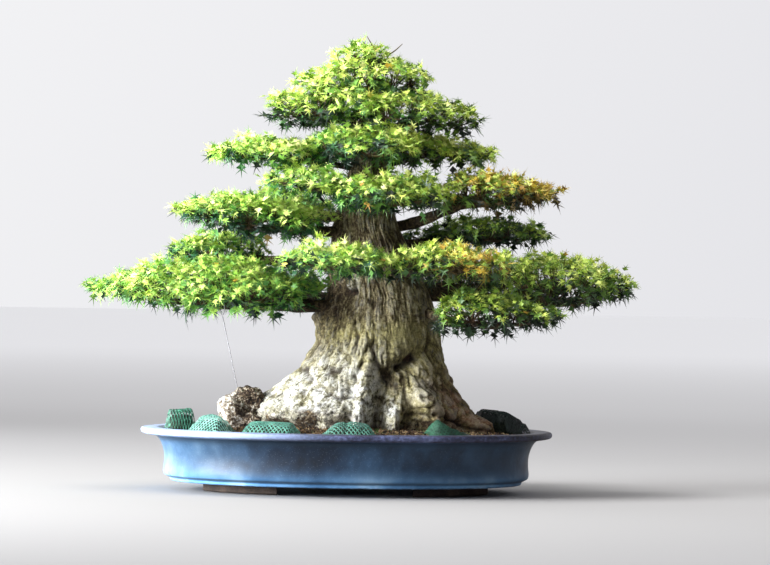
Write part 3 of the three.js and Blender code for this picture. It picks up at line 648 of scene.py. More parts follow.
def bark_finish(name, marked):
    """Old bark, dark brown. Where its piece is marked, it is olive and tan in clouds, cream on the roots, partly
    as painted light, dark and cracked above, with painted highlights on its ridges and painted shade in its
    creases, in the hollows, under the flare and under the low left bough."""
    bark = Finish(name, specular_ior_level=0.25)
    fibre = bark.mark("fibre", "Vector") if marked else bark.at.stretched(1, 1, 0.3)
    clouds = bark.at.noise(15, 4, 0.6, 0.4).between(0.34, 0.66)
    streaks = fibre.noise(170, 5, 0.7, 0.4).between(0.33, 0.67)
    fleck = bark.at.noise(215, 5, 0.75, 0.5).between(0.36, 0.64)
    mixed = 0.25 * clouds + 0.4 * streaks + 0.35 * fleck
    if marked:
        patch = bark.at.noise(46, 4, 0.65, 0.5).between(0.36, 0.64)
        upper = mixed.ramp(
            (0.15, "#241b12"), (0.38, "#51452f"), (0.58, "#807553"), (0.78, "#aca17b"), (0.95, "#d2c9aa")
        )
        body = mixed.ramp(
            (0.12, "#2c2616"), (0.32, "#6a623f"), (0.52, "#968d57"), (0.72, "#bcb179"), (0.94, "#e4dcb8")
        )
        cream = (0.25 * patch + 0.3 * streaks + 0.45 * fleck).ramp(
            (0.14, "#24221b"), (0.30, "#6e6c5a"), (0.44, "#bdbaac"), (0.58, "#e8e7df"), (0.9, "#ffffff")
        )
        reddish = (0.3 * patch + 0.3 * streaks + 0.4 * fleck).ramp(
            (0.1, "#331f16"), (0.36, "#7a523f"), (0.6, "#a8805f"), (0.9, "#d3b993")
        )
        sleek = mixed.ramp((0.15, "#68613a"), (0.5, "#928b5c"), (0.85, "#bbb285"))
        shade = (0.4 * streaks + 0.6 * fleck).ramp(
            (0.15, "#120d09"), (0.45, "#392b1e"), (0.7, "#6f5d45"), (0.92, "#b3a283")
        )
        pit = fleck.ramp((0.2, "#0d0906"), (0.9, "#3f2b20"))
        colour = (0.8 * bark.mark("sleek")).blend(body, sleek)
        # Over the bark's own colours: cream on the roots, partly painted light; a painted highlight on the
        # ridges; painted shade under the flare, under the low left bough, in the creases and in the hollows.
        for share, tone in [
            (0.9 * bark.mark("warm") * (0.4 + 0.8 * patch), reddish),
            (bark.mark("pale") * (0.5 + 0.8 * patch), cream),
            ((bark.mark("up") + 0.3 * (clouds - 0.5)).between(0.15, 0.85), upper),
            (0.22 * bark.mark("ridge"), "#f4efdf"),
            (bark.mark("beneath") * (0.15 + 1.35 * patch), shade),
            (0.75 * bark.mark("dusk") * (0.5 + 0.7 * clouds), shade),
            (0.8 * bark.mark("valley"), "#33261a"),
            (1.1 * bark.mark("hollow"), pit),
        ]:
            colour = share.blend(colour, tone)
    else:
        colour = mixed.ramp((0.15, "#140f0a"), (0.42, "#33281b"), (0.66, "#5a4c36"), (0.95, "#8e8166"))
    bark.vary(colour, 0.7 + 0.25 * fleck, 0.45 * streaks + 0.55 * fleck, 0.0022)
    return bark.material


old_bark = bark_finish("old_bark", True)
finished(trunk, old_bark, "bark", "trunk")

# Root stump: a knuckled old root at the left that was cut back, its end weathered white, brown and black, paler
# towards its left end, with painted highlights on the ridges there and painted shade in its creases and pits.
STUMP = {"middle": (-170, -30, 116), "half": (50, 42, 50), "shoulder": (-196, -26, 158)}
PITS = [
    # middle of a hollow in its front, and how wide it is
    ((-152, -70, 142), 11), ((-172, -72, 134), 9), ((-134, -60, 132), 10), ((-160, -58, 156), 7),
    ((-190, -66, 124), 7),
]
# An egg stood in the soil, with low waves round it, its left end sunk, then creased, pitted and gnarled.
turn = full_turn(120)
rise = np.linspace(-0.6, 0.985, 62)[:, None] * pi / 2
unit = stacked(np.cos(rise) * np.cos(turn), np.cos(rise) * np.sin(turn), np.sin(rise))
x, y, z = np.moveaxis(unit, -1, 0)
knuckle = 1 + 0.1 * np.sin(5 * x + 1) * np.cos(4 * y) + 0.08 * np.sin(7 * z + 3 * x)
sunk = 1 - 0.06 * np.clip(-x, 0, 1) ** 1.5 * np.clip(z, 0, 1)
flow = unit * knuckle[..., None] * STUMP["half"] * stacked(1, 1, sunk) + STUMP["middle"]
gnarl = 5 * grain(flow, 26, 37) + 4.5 * creased(flow, 19, 31)
gnarl = gnarl + 2.6 * creased(flow, 9, 32) + 1.0 * grain(flow, 4, 33)
pit = np.max([hump(np.linalg.norm(flow - place, axis=-1), wide) for place, wide in PITS], axis=0)
shoulder = hump(np.linalg.norm(flow - STUMP["shoulder"], axis=-1), 27)
stump = ringed(
    "root_stump",
    flow + unit * (gnarl - 6 * pit + 16 * shoulder)[..., None],
    valley=np.clip(-gnarl / 6 + pit, 0, 1),
    ridge=risen(gnarl, 0, 6),
    left=risen(flow[..., 0], -172, -212),
)
dead = Finish("weathered_root", specular_ior_level=0.25)
patches = dead.at.noise(70, 4, 0.65, 0.8).between(0.34, 0.66)
fine_grain = dead.at.noise(260, 4, 0.7).between(0.36, 0.64)
leftward = dead.mark("left")
tone = 0.36 * patches + 0.35 * fine_grain + 0.3 * leftward
colour = tone.ramp((0.1, "#0d0906"), (0.26, "#35271c"), (0.4, "#6c5a46"), (0.54, "#a99d88"), (0.74, "#f7f4ed"))
# Painted shade in the creases and pits, and painted highlights on the ridges at the left end.
colour = (0.8 * dead.mark("valley")).blend(colour, "#1c120c")
colour = (0.3 * dead.mark("ridge") * leftward).blend(colour, "#efeae0")
dead.vary(colour, 0.75 + 0.2 * fine_grain, 0.5 * patches + 0.5 * fine_grain, 0.003)
finished(stump, dead.material, "bark", "trunk")

# Boughs: each leaves the trunk at its own height with a thickened collar, and runs out level under its pad
# of leaves. Branches fork from its outer half, and twigs from those, until each holds a spray of leaves.
PADS = {
    # middle across and deep, half-length, half-width, lowest and highest leaf, where the bough starts, kind
    "low_left": (-249, -30, 219, 152, 309, 407, 318, "leaf_green"),
    "low_left_back": (-234, 132, 92, 94, 386, 450, 392, "leaf_shaded"),
    "front_left": (-16, -186, 106, 92, 374, 428, 380, "leaf_green"),
    "front_right": (184, -176, 112, 92, 370, 428, 380, "leaf_green"),
    "low_right": (377, 14, 122, 134, 320, 416, 346, "leaf_green"),
    "low_right_front": (250, -124, 122, 96, 279, 351, 318, "leaf_green"),
    "back_low_left": (-150, 226, 124, 100, 320, 380, 330, "leaf_shaded"),
    "back_low": (46, 270, 118, 96, 376, 440, 384, "leaf_shaded"),
    "back_low_right": (236, 212, 118, 96, 340, 402, 352, "leaf_shaded"),
    "mid_left": (-172, -20, 146, 122, 441, 512, 446, "leaf_green"),
    "right_dark": (224, 92, 136, 98, 427, 479, 424, "leaf_shaded"),
    "right_orange": (259, -24, 111, 112, 491, 556, 450, "leaf_turning"),
    "mid_front": (66, -126, 108, 92, 484, 547, 498, "leaf_green"),
    "back_mid_left": (-120, 174, 106, 88, 464, 526, 474, "leaf_shaded"),
    "back_mid": (66, 202, 104, 88, 504, 562, 508, "leaf_shaded"),
    "upper_left": (-141, -6, 120, 104, 560, 613, 560, "leaf_green"),
    "small_left": (-78, -106, 80, 74, 508, 560, 520, "leaf_green"),
    "upper_right": (157, 16, 106, 100, 572, 616, 562, "leaf_green"),
    "upper_front": (28, -92, 106, 80, 566, 634, 580, "leaf_green"),
    "back_upper": (16, 132, 108, 78, 576, 636, 582, "leaf_shaded"),
    "high": (36, -16, 201, 106, 624, 698, 630, "leaf_green"),
    "top": (23, -8, 129, 80, 680, 750, 690, "leaf_green"),
    "apex": (16, -4, 54, 54, 726, 779, 730, "leaf_green"),
}
LEANS = {
    # how far a pad rises to the right, over its half-length
    "high": -8, "mid_left": -13, "low_left": 2, "upper_right": -6, "right_dark": 5, "low_right": -7, "top": 6,
    "upper_left": -4, "right_orange": 2,
}
FAR_TIPS = {"low_left": 0.78, "low_right": 0.76, "mid_left": 0.74}  # share of a pad's height left at its far tip
BRANCH_PATCH, TWIG_PATCH = 1700, 280  # square millimetres of a pad's plan to one branch, and to one twig
GOLDEN_ANGLE = 2.39996


def bent(points, steps):
    """Smooth lines through rows of points: between two of them a cubic that leaves along the line from the
    point before to the point after, as a Catmull-Rom curve does."""
    points = np.asarray(points, float)
    first = 2 * points[:, :1] - points[:, 1:2]
    last = 2 * points[:, -1:] - points[:, -2:-1]
    held = np.concatenate([first, points, last], axis=1)
    place = np.linspace(0, points.shape[1] - 1, steps + 1)
    k = np.minimum(place.astype(int), points.shape[1] - 2)
    t = (place - k)[None, :, None]
    a, b, c, d = (held[:, k + n] for n in range(4))
    return 0.5 * (2 * b + (c - a) * t + (2 * a - 5 * b + 4 * c - d) * t**2 + (3 * b - a - 3 * c + d) * t**3)


def bars(lines, radii, sides):
    """Tapered round bars, one for each line: a ring of corners round every point of a line, square to it.
    Gives the points and the faces."""
    along = np.gradient(lines, axis=1)
    along /= np.linalg.norm(along, axis=-1, keepdims=True)
    side = np.cross(along, (0.12, 0.05, 1.0))
    side /= np.linalg.norm(side, axis=-1, keepdims=True)
    over = np.cross(along, side)
    turn = 2 * pi * np.arange(sides) / sides
    ring = side[:, :, None] * np.cos(turn)[:, None] + over[:, :, None] * np.sin(turn)[:, None]
    points = lines[:, :, None] + ring * np.asarray(radii)[:, :, None, None]
    count, steps = lines.shape[:2]
    return points.reshape(-1, 3), copied(ring_faces(steps, sides), steps * sides, count)


def joined(parts):
    """Several sets of points and faces as one."""
    start = np.cumsum([0] + [len(points) for points, _ in parts])
    points = np.concatenate([points for points, _ in parts])
    return points, [group + start[k] for k, (_, faces) in enumerate(parts) for group in faces]


def bough_foot(name):
    """Where a pad's bough leaves the middle of the trunk, and whether the pad lies to one side of it."""
    x, y, _, _, _, _, start, _ = PADS[name]
    trunk_x, trunk_y, _, _ = along_trunk(start)
    return (trunk_x, trunk_y, start), np.hypot(trunk_x - x, trunk_y - y) > 40


def bough_line(start, goal, spread):
    """The five points and radii of one bough: out of the trunk's middle, up to its pad, and on under it."""
    x, y, half_width, _ = along_trunk(start)
    dx, dy = goal[0] - x, goal[1] - y
    far = np.hypot(dx, dy)
    thick = 0.8 * min(half_width * 0.3, 3.5 + 0.05 * far + 0.02 * spread)
    shares = np.array([0, 0.36, 0.7, 1, 1 + 0.3 * spread / far])
    sway = np.array([0, 0.05, -0.04, 0, 0.02])
    rise = np.array([-2, 0.3 * (goal[2] - start), 0.85 * (goal[2] - start), goal[2] - start, goal[2] - start + 3])
    points = stacked(x + dx * shares - dy * sway, y + dy * shares + dx * sway, start + rise)
    return points, np.maximum(thick * np.array([0.95, 0.68, 0.56, 0.42, 0.2]), 1.8)


def outline(turn, phase):
    """Edge of a pad in plan, as a share of its half-lengths: an oval with three broad and five small lobes."""
    return 1 + 0.05 * np.sin(3 * turn + phase) + 0.035 * np.sin(5 * turn + 2.1 * phase)


def in_plan(name, turn, share, phase):
    """Places on a pad's plan, by direction and by share of the way from its middle to its edge."""
    x, y, a, b = PADS[name][:4]
    edge = share * outline(turn, phase)
    return stacked(x + a * edge * np.cos(turn), y + b * edge * np.sin(turn), 0.0)


def sunflower(count, inner, outer, phase):
    """Directions and distances that fill a disc evenly: each turns by the golden angle, and the distance
    grows as a square root."""
    k = np.arange(count)
    return GOLDEN_ANGLE * k + phase, np.sqrt(inner**2 + (outer**2 - inner**2) * (k + 0.5) / count)


def eased(t):
    """From 0 to 1 as t does, leaving and arriving gently."""
    t = np.clip(t, 0, 1)
    return t * t * (3 - 2 * t)


def crown_and_underside(name, turn, share):
    """Heights of a pad's two faces over a place in its plan. A pad that lies to one side of the trunk is a
    wedge, thin at its far tip and thick towards the trunk, every pad thins out round its rim, and some lean."""
    x, y, a, b, low, high, _, _ = PADS[name]
    (trunk_x, trunk_y, _), aside = bough_foot(name)
    toward = np.arctan2((trunk_y - y) / b, (trunk_x - x) / a)
    inward = share * np.cos(turn - toward) * aside
    far = FAR_TIPS.get(name, 0.62)
    top = far + (1 - far) * eased((inward + 1) / 1.1) if aside else 1 + 0 * share
    floor = 0.36 - 0.36 * eased(inward + 1) if aside else 0 * share
    rounder = name == "low_left"
    seat = floor + (0.3 if rounder else 0.4) * (top - floor)
    crown = seat + (top - seat) * ((1 - share**1.9) ** 0.95 if rounder else (1 - share**2.6) ** 0.6)
    underside = seat - (seat - floor) * (1 - share**4) ** 0.5
    lean = LEANS.get(name, 0) * share * np.cos(turn)
    return low + (high - low) * crown + lean, low + (high - low) * underside + lean


chance = np.random.default_rng(42)
bough_points, bough_radii, branch_lines, branch_radii, twig_lines, twig_radii = [], [], [], [], [], []
sprays = {}
for number, (name, (x, y, a, b, low, _, start, _)) in enumerate(PADS.items()):
    phase = 1.7 * number
    foot, aside = bough_foot(name)
    if aside:
        goals = [((x, y, low + 12), a)]
    else:
        ways = (0.1, 2.3, 3.3)
        goals = [((x + 0.42 * a * np.cos(t), y + 0.34 * b * np.sin(t), low + 14), 0.4 * b) for t in ways]
    points, radii = zip(*(bough_line(start, goal, spread) for goal, spread in goals))
    bough_points += points
    bough_radii += radii
    forked = 22 if aside else 6  # the first of 40 steps along a bough that holds branches
    wood = bent(points, 40)[:, forked:].reshape(-1, 3)

    # Branches end spread through the pad's plan, low in it.
    count = int(9 + a * b / BRANCH_PATCH)
    turn, share = sunflower(count, 0.2, 0.7, phase + 0.7)
    ends = in_plan(name, turn, share, phase)
    crown, underside = crown_and_underside(name, turn, share)
    ends[:, 2] = underside + 0.24 * (crown - underside) + chance.uniform(-3, 3, count)
    away = np.linalg.norm(ends[:, None, :2] - wood[None, :, :2], axis=-1)
    toward = np.linalg.norm(wood - foot, axis=-1)
    fork = wood[np.argmin(away + 0.25 * toward, axis=1)]
    bow = chance.uniform(-0.1, 0.1, (count, 1)) * (ends - fork)[:, [1, 0, 2]] * (-1, 1, 0)
    lines = bent(np.stack([fork, 0.5 * (fork + ends) + bow - (0, 0, 3), ends], axis=1), 7)
    branch_lines.append(lines)
    branch_radii.append(np.linspace(2.9, 1.3, 8) * chance.uniform(0.8, 1.2, (count, 1)))
    holds = lines[:, 2:].reshape(-1, 3)

    # Twigs end all through the pad: more than half under its crown, the rest inside it and along its underside.
    count = int(a * b * pi / TWIG_PATCH)
    upper, inner = int(0.6 * count), int(0.26 * count)
    lowest = count - upper - inner
    spread = [(upper, 0, 0.91, phase), (inner, 0, 0.87, phase + 1), (lowest, 0.3, 0.89, phase + 2)]
    turn, share = (np.concatenate(halves) for halves in zip(*(sunflower(*disc) for disc in spread)))
    near_crown = 1 - 0.16 * chance.uniform(0, 1, upper) ** 2
    level = np.concatenate([near_crown, chance.uniform(0.25, 0.85, inner), 0.2 * chance.uniform(0, 1, lowest)])
    tips = in_plan(name, turn, share, phase)
    clumps = 1 + 0.07 * share * grain(tips, 38, 200 + number)
    tips[:, :2] = (tips[:, :2] - (x, y)) * clumps[:, None] + (x, y) + chance.uniform(-5, 5, (count, 2))
    crown, underside = crown_and_underside(name, turn, share)
    relief = 9 * grain(tips, 46, number) + 4.5 * grain(tips, 20, 60 + number)
    sprout = 7 * (chance.uniform(0, 1, count) > 0.85) * (level > 0.8)
    tips[:, 2] = underside + 6 + level * (crown - underside - 17) + level * relief + sprout
    fork = holds[np.argmin(np.linalg.norm(tips[:, None] - holds[None], axis=-1), axis=1)]
    middle = 0.5 * (fork + tips) - (0, 0, 2) + chance.uniform(-3, 3, (count, 3))
    twig_lines.append(np.stack([fork, middle, tips], axis=1))
    twig_radii.append(np.linspace(1.1, 0.5, 3) * chance.uniform(0.8, 1.2, (count, 1)))
    sprays[name] = tips, share[:, None], level[:, None]

# The five radii of a bough are spread over its thirty steps, and the wood is a little lumpy.
lines = bent(bough_points, 30)
place = np.linspace(0, 4, 31)
radii = np.stack([np.interp(place, range(5), radius) for radius in bough_radii])
radii = radii * (1 + 0.2 * grain(lines, 22, 41) + 0.1 * grain(lines, 9, 42))
boughs = shape("boughs", *bars(lines, radii, 12))
upper_bark = bark_finish("bough_bark", False)
finished(boughs, upper_bark, "bark", "trunk")

parts = [bars(line, radius, 5) for line, radius in zip(branch_lines, branch_radii)]
parts += [bars(line, radius, 3) for line, radius in zip(twig_lines, twig_radii)]
bare_shoots = [
    [(30, -8, 742), (4, -12, 752), (-22, -14, 760)],
    [(30, -8, 742), (2, -4, 748), (-14, -10, 768)],
    [(44, 2, 746), (70, -4, 760), (86, -10, 774)],
    [(38, 4, 746), (34, 8, 770), (24, 4, 788)],
]
parts.append(bars(bent(bare_shoots, 6), np.linspace(1.9, 0.6, 7) * np.ones((4, 1)), 5))
twigs = shape("twigs", *joined(parts))
young = Finish("twig_bark", specular_ior_level=0.35)
tone = 0.6 * young.at.noise(60, 3) + 0.4 * young.at.noise(500, 3)
young.vary(tone.ramp((0.3, "#2c1f15"), (0.48, "#4a3525"), (0.62, "#5c5230"), (0.75, "#7f7a48")), 0.5 + 0.3 * tone)
finished(twigs, young.material, "bark", "trunk")

# Leaves: small thin leaves of five pointed lobes, ten or so round the end of every twig. Those at the crown of a
# pad are yellow-green, young and with painted light from above, those beneath are darker, as painted shade, and
# some at the right turn gold and brown.
LEAF_EDGE = [
    # lobe tips and notches: direction, reach from the palm, and how much of the fold and of the droop it takes
    (-104, 0.50, 1, 1), (-75, 0.12, 0.3, 0), (-50, 0.76, 1, 1), (-24, 0.14, 0.3, 0), (0, 0.90, 1, 1),
    (24, 0.14, 0.3, 0), (50, 0.76, 1, 1), (75, 0.12, 0.3, 0), (104, 0.50, 1, 1),
]
PALM = 0.14  # how far the palm's middle lies along the leaf
SPRAY = 10  # leaves round a twig's end
REACH = (-468, 508)  # no leaf reaches further left or right: one that would is moved in
# How much darker or paler than the rest the leaves of some pads are painted, as painted shade on the darker ones
# and painted light on the low left back one, and the colours that they run through.
DARKER_PADS = {"low_left": 0.1, "low_right_front": 0.14, "high": 0.06, "right_dark": 0.09, "low_left_back": -0.22}
AGE_AND_SHADE_STOPS = (0.0, 0.16, 0.34, 0.52, 0.70, 0.86, 1.0)
OLIVE = list(zip(AGE_AND_SHADE_STOPS, ("#ecf090", "#ccd95a", "#a0b742", "#708c30", "#435d26", "#25361b", "#141d10")))
BRIGHT = list(zip(AGE_AND_SHADE_STOPS, ("#e9f296", "#cbe36a", "#9dc852", "#68a040", "#397236", "#1c422e", "#0f2318")))
# The shaded pads' leaves are the same leaves with painted shade: darker, bluer greens.
SHADED = [
    (0.0, "#c4d96a"), (0.2, "#8db84c"), (0.4, "#5d9444"), (0.6, "#367242"), (0.8, "#1e4c35"), (1.0, "#102b1e"),
]


def leaf_shape(droop, fold):
    """One leaf of unit length along +X: the stalk's end, then lobe tips and notches in turn, and a crest over
    the palm. A tip sinks by the droop times its reach squared, and rises by the fold times its distance from
    the middle line."""
    turn, reach, folds, droops = np.array(LEAF_EDGE).T
    x, y = reach * np.cos(np.radians(turn)), reach * np.sin(np.radians(turn))
    edge = stacked(PALM + x, y, folds * fold * np.abs(y) - droops * droop * reach**2)
    return np.concatenate([[(-0.34, 0, -0.02)], edge, [(PALM, 0, 0.04)]])


# The top is a fan from the crest, corner 10, to the ten round it, and the underside closes them without it.
LEAF_TOP = [(10, k, (k + 1) % 10) for k in range(10)]
LEAF_UNDER = [(4, 3, 2), (6, 5, 4), (8, 7, 6), (2, 1, 0), (0, 9, 8), (4, 2, 0), (6, 4, 0), (8, 6, 0)]
LEAF_FACES = np.array(LEAF_TOP + LEAF_UNDER)
DROOPS_AND_FOLDS = [(0.05, 0), (0.2, 0.1), (0.38, 0), (0.6, 0.2), (0.1, 0.35), (0.3, 0.5), (-0.12, 0.1)]
LEAF_FORMS = np.array([leaf_shape(droop, fold) for droop, fold in DROOPS_AND_FOLDS])
LEAF_POINTS = LEAF_FORMS.shape[1]


def leaf_turns(heading, nod, lean):
    """Matrices that turn a leaf about its own length by lean, tip it down by nod, then swing it to heading."""
    ch, cn, cl = (np.cos(angle) for angle in (heading, nod, lean))
    sh, sn, sl = (np.sin(angle) for angle in (heading, nod, lean))
    first = stacked(ch * cn, ch * sn * sl - sh * cl, ch * sn * cl + sh * sl)
    second = stacked(sh * cn, sh * sn * sl + ch * cl, sh * sn * cl - ch * sl)
    third = stacked(-sn, cn * sl, cn * cl)
    return np.stack([first, second, third], axis=-2)


def leaf_finish(name, greens):
    """Leaves run through their greens with age and painted shade, more olive to the right, to gold and brown
    where they turn.
    """
    leaf = Finish(name, specular_ior_level=0.5)
    age = leaf.mark("age") + 0.12 * leaf.at.noise(90, 3) - 0.06
    green = (0.75 * leaf.mark("olive")).blend(age.ramp(*greens), age.ramp(*OLIVE))
    brown = age.ramp((0.0, "#e8cf5a"), (0.3, "#cfa338"), (0.6, "#94702a"), (1.0, "#43351a"))
    leaf.vary(leaf.mark("turned").blend(green, brown), 0.36 + 0.25 * leaf.at.noise(400, 2))
    return leaf.material


def leaf_age_and_shade(name, tips, luck, swing, share, level):
    """How old and how shaded a pad's leaves look, from 0, yellow-green, to 1, dark: partly their age and partly
    painted light and shade. It grows from the crown down, as painted shade beneath, a little to the right, away
    from the light at the left, by luck and in patches, with more painted shade on the shaded pads, and every pad
    has its own. The low left one is paler beneath round its rim, as painted light on its outward leaves, and
    darker towards the trunk, as painted shade; the mid left one is darker beneath."""
    x, kind = PADS[name][0], PADS[name][-1]
    # Painted light and shade: paler at the crown, darker beneath, a little darker to the right and on shaded
    # pads.
    age = 0.90 - 0.68 * level + 0.3 * luck + 0.2 * grain(tips, 46, 77)[:, None]
    age = age + 0.05 * np.clip(x / 200, -1, 1) + (0.12 if kind == "leaf_shaded" else 0) + DARKER_PADS.get(name, 0)
    if name == "low_left":
        age = age - 0.4 * (1 - level) * hump(swing, 9) * np.clip(share * 1.6, 0, 1)
        age = age + 0.2 * risen(tips[:, :1], -170, -80)
    if name == "mid_left":
        age = age + 0.14 * (1 - level)
    return np.clip(age, 0, 1)


def turning_share(name, x):
    """Share of a pad's leaves that have turned gold or brown, by how far right they are."""
    if name == "right_orange":
        return 0.18 + 0.66 * risen(x, 190, 310)
    if name == "front_right":
        return 0.03 + 0.55 * hump(x - 214, 42)
    return 0.006


leaf_finishes = {
    "leaf_green": leaf_finish("green_leaf", BRIGHT),
    "leaf_shaded": leaf_finish("shaded_leaf", SHADED),
    "leaf_turning": leaf_finish("turning_leaf", BRIGHT),
}
for name, (x, y, a, b, _, _, _, kind) in PADS.items():
    tips, share, level = sprays[name]
    across = tips[:, :1]
    size = (len(tips), SPRAY)
    outward = np.arctan2((tips[:, 1] - y) / b, (tips[:, 0] - x) / a)[:, None]
    heading = outward + 2 * pi * np.arange(SPRAY) / SPRAY + chance.uniform(-0.6, 0.6, size)
    swing = heading - outward
    nod = np.radians(-16 + 46 * share**4 * (0.4 + np.cos(swing)) + 38 * (1 - level)) + chance.normal(0, 0.5, size)
    lean = chance.normal(0, 0.5, size)
    length = (18 - 5.5 * level) * chance.uniform(0.7, 1.3, size)
    stalk = chance.uniform(0.15, 0.95, size) * length
    base = tips[:, None] + stacked(
        stalk * np.cos(heading) * np.cos(nod), stalk * np.sin(heading) * np.cos(nod), -stalk * np.sin(nod)
    )
    base[..., 2] += chance.uniform(-5, 5, size)
    form = LEAF_FORMS[chance.integers(0, len(LEAF_FORMS), size)]
    points = np.einsum("ktij,ktpj->ktpi", leaf_turns(heading, nod, lean), form) * length[..., None, None]
    points = points + base[:, :, None]
    past = np.clip(points[..., 0].max(axis=-1) - REACH[1], 0, None)
    past += np.clip(points[..., 0].min(axis=-1) - REACH[0], None, 0)
    points[..., 0] -= past[..., None]
    age = leaf_age_and_shade(name, tips, chance.uniform(-1, 1, size), swing, share, level)
    turned = (chance.uniform(0, 1, size) < turning_share(name, across)) * chance.uniform(0.6, 1, size)
    sunned = np.clip((across + 60) / 220, 0.5 if name in ("high", "top") else 0, 1)
    marks = {"age": age, "turned": turned, "olive": np.broadcast_to(sunned, size)}
    leaves = shape(
        "leaves_" + name,
        points.reshape(-1, 3),
        copied([LEAF_FACES], LEAF_POINTS, age.size),
        smooth=False,
        **{mark: np.repeat(values, LEAF_POINTS) for mark, values in marks.items()},
    )
    finished(leaves, leaf_finishes[kind], kind, "foliage_" + name)

# Feed cakes under netting: pressed brown cakes of feed laid on the soil round the rim, each held down by a
# patch of knitted green plastic net, creased over it, whose edges lie on the soil.
BOX = [(-1, 0), (-0.94, 0), (-0.8, 0.94), (0.8, 1), (0.94, 0), (1, 0)]
TENT = [(-1, 0), (-0.4, 0.86), (0, 1), (0.45, 0.8), (1, 0)]
LOW = [(-1, 0), (-0.95, 0.05), (-0.72, 0.8), (-0.1, 1), (0.5, 0.86), (0.95, 0.05), (1, 0)]
RIDGE = [(-1, 0), (-0.92, 0.8), (-0.75, 1), (0.1, 1), (0.5, 0.74), (0.92, 0.5), (1, 0)]
PEAK = [(-1, 0.1), (-0.1, 0.5), (0.55, 1), (1, 0.1)]
STEP = [(-1, 0), (-0.95, 0.4), (-0.2, 0.7), (0.2, 1), (0.85, 1), (1, 0)]
NET_SIZES = ("x", "side", "length", "width", "height", "over", "along", "cell", "openness", "colours")
NETS = {
    # middle across, front or back, length, width, height, its outlines over its width and along its length,
    # cell and openness, colours
    "left_rim": (-293, -1, 80, 54, 34, BOX, BOX, 3.6, 0.76, ("#143f33", "#3f8c70")),
    "left_front": (-231, -1, 82, 56, 29, TENT, LOW, 3.5, 0.8, ("#286e5f", "#8fc6b6")),
    "front_left": (-127, -1, 100, 52, 20, LOW, BOX, 3.6, 0.78, ("#1e5b4e", "#64a28e")),
    "front_middle": (6, -1, 92, 50, 23, TENT, LOW, 3.5, 0.79, ("#194f43", "#599480")),
    "front_right": (172, -1, 78, 52, 30, TENT, PEAK, 3.2, 0.5, ("#14372a", "#2d6148")),
    "right": (286, 1, 128, 98, 35, RIDGE, STEP, 3.4, 0.5, ("#060b0a", "#0f221c")),
    "back_right": (170, 1, 92, 54, 24, TENT, LOW, 3.6, 0.76, ("#1b6a59", "#62bda0")),
    "back_left": (-160, 1, 96, 54, 24, LOW, BOX, 3.6, 0.76, ("#1b6a59", "#62bda0")),
}
NET_CLEAR = 2.35  # from a net's edge to the soil's


def spot_on_soil(net, p, q):
    """The point on the soil p along and q across from a net's middle, whose long way follows the pot's rim."""
    x, side = net["x"], net["side"]
    inset = SOIL_EDGE + NET_CLEAR + net["width"] / 2
    a, b = POT["half_length"] - inset, POT["half_width"] - inset
    power = POT["roundness"]
    across = min(0.995, abs(x) / a)
    y = side * b * (1 - across**power) ** (1 / power)
    slope = -((across / a) * np.sign(x) * across ** (power - 2))
    turn = np.arctan2(slope, side * abs(y / b) ** (power - 1) / b)
    px = np.sign(x) * across * a + p * np.cos(turn) - q * np.sin(turn)
    py = y + p * np.sin(turn) + q * np.cos(turn)
    return stacked(px, py, soil_height(px, py) + 0.4)


def net_height(net, p, q):
    """Height of a net over the soil: its height, times its outline across, times its outline along, each a
    broken line whose corners are eased by averaging to both sides."""
    sides = ((2 * q / net["width"], net["over"]), (2 * p / net["length"], net["along"]))
    across, along = (sum(np.interp(at + d, *zip(*line)) for d in (-0.09, 0, 0.09)) / 3 for at, line in sides)
    return net["height"] * across * along


def net_cells(net):
    """A net of diamonds: crossings where the sum of two whole numbers is even, and round every odd one a
    frame of four strands, whose inner corners stand part of the way out. Gives points and faces, both sides."""
    half_length, half_width = net["length"] / 2, net["width"] / 2
    reach_p, reach_q = round(half_length / net["cell"]), round(half_width / (0.76 * net["cell"]))
    i, j = np.meshgrid(np.arange(-reach_p, reach_p + 1), np.arange(-reach_q, reach_q + 1))
    i, j = i.ravel(), j.ravel()
    ragged = 0.1 * grain(stacked(i, j, 0), 3, 51)
    fits = (i + j) % 2 == 1
    fits &= np.maximum(np.abs(i) / (reach_p - 0.5), np.abs(j) / (reach_q - 0.5)) + ragged < 1.02
    i, j = i[fits], j[fits]
    around = np.array([(-1, 0), (0, -1), (1, 0), (0, 1)])
    outer = stacked(i[:, None] + around[:, 0], j[:, None] + around[:, 1])
    keys = outer[..., 0] * 1000 + outer[..., 1]
    unique, where = np.unique(keys.ravel(), return_inverse=True)
    crossing = stacked(np.round(unique / 1000), unique - 1000 * np.round(unique / 1000))
    where = where.reshape(-1, 4)
    inner = stacked(i, j)[:, None] + net["openness"] * around
    flat = np.concatenate([crossing, inner.reshape(-1, 2)])
    inside = len(crossing) + np.arange(len(i) * 4).reshape(-1, 4)
    p, q = flat[:, 0] * (half_length / reach_p), flat[:, 1] * (half_width / reach_q)
    low = spot_on_soil(net, p, q * (1 - 0.12 * (p / half_length) ** 2))
    arch = net_height(net, p, q)
    crease = np.maximum(0, creased(stacked(p + net["x"], q, 0.0), 22, 53) + 0.35)
    low[:, 2] += arch + 0.13 * net["height"] * crease * np.minimum(1, arch / 8)
    half = len(flat)
    points = np.concatenate([low, low + (0, 0, 0.8)])
    ahead = np.roll(where, -1, axis=1), np.roll(inside, -1, axis=1)
    top = stacked(where, ahead[0], ahead[1], inside).reshape(-1, 4) + half
    under = top[:, ::-1] - half
    inner_wall = stacked(inside + half, ahead[1] + half, ahead[1], inside).reshape(-1, 4)
    there = set(zip(i.tolist(), j.tolist()))
    beside = [(-1, -1), (1, -1), (1, 1), (-1, 1)]
    open_side = np.array([[(m + di, n + dj) not in there for di, dj in beside] for m, n in zip(i, j)])
    outer_wall = stacked(where, ahead[0], ahead[0] + half, where + half)[open_side]
    return points, [top, under, inner_wall, outer_wall]


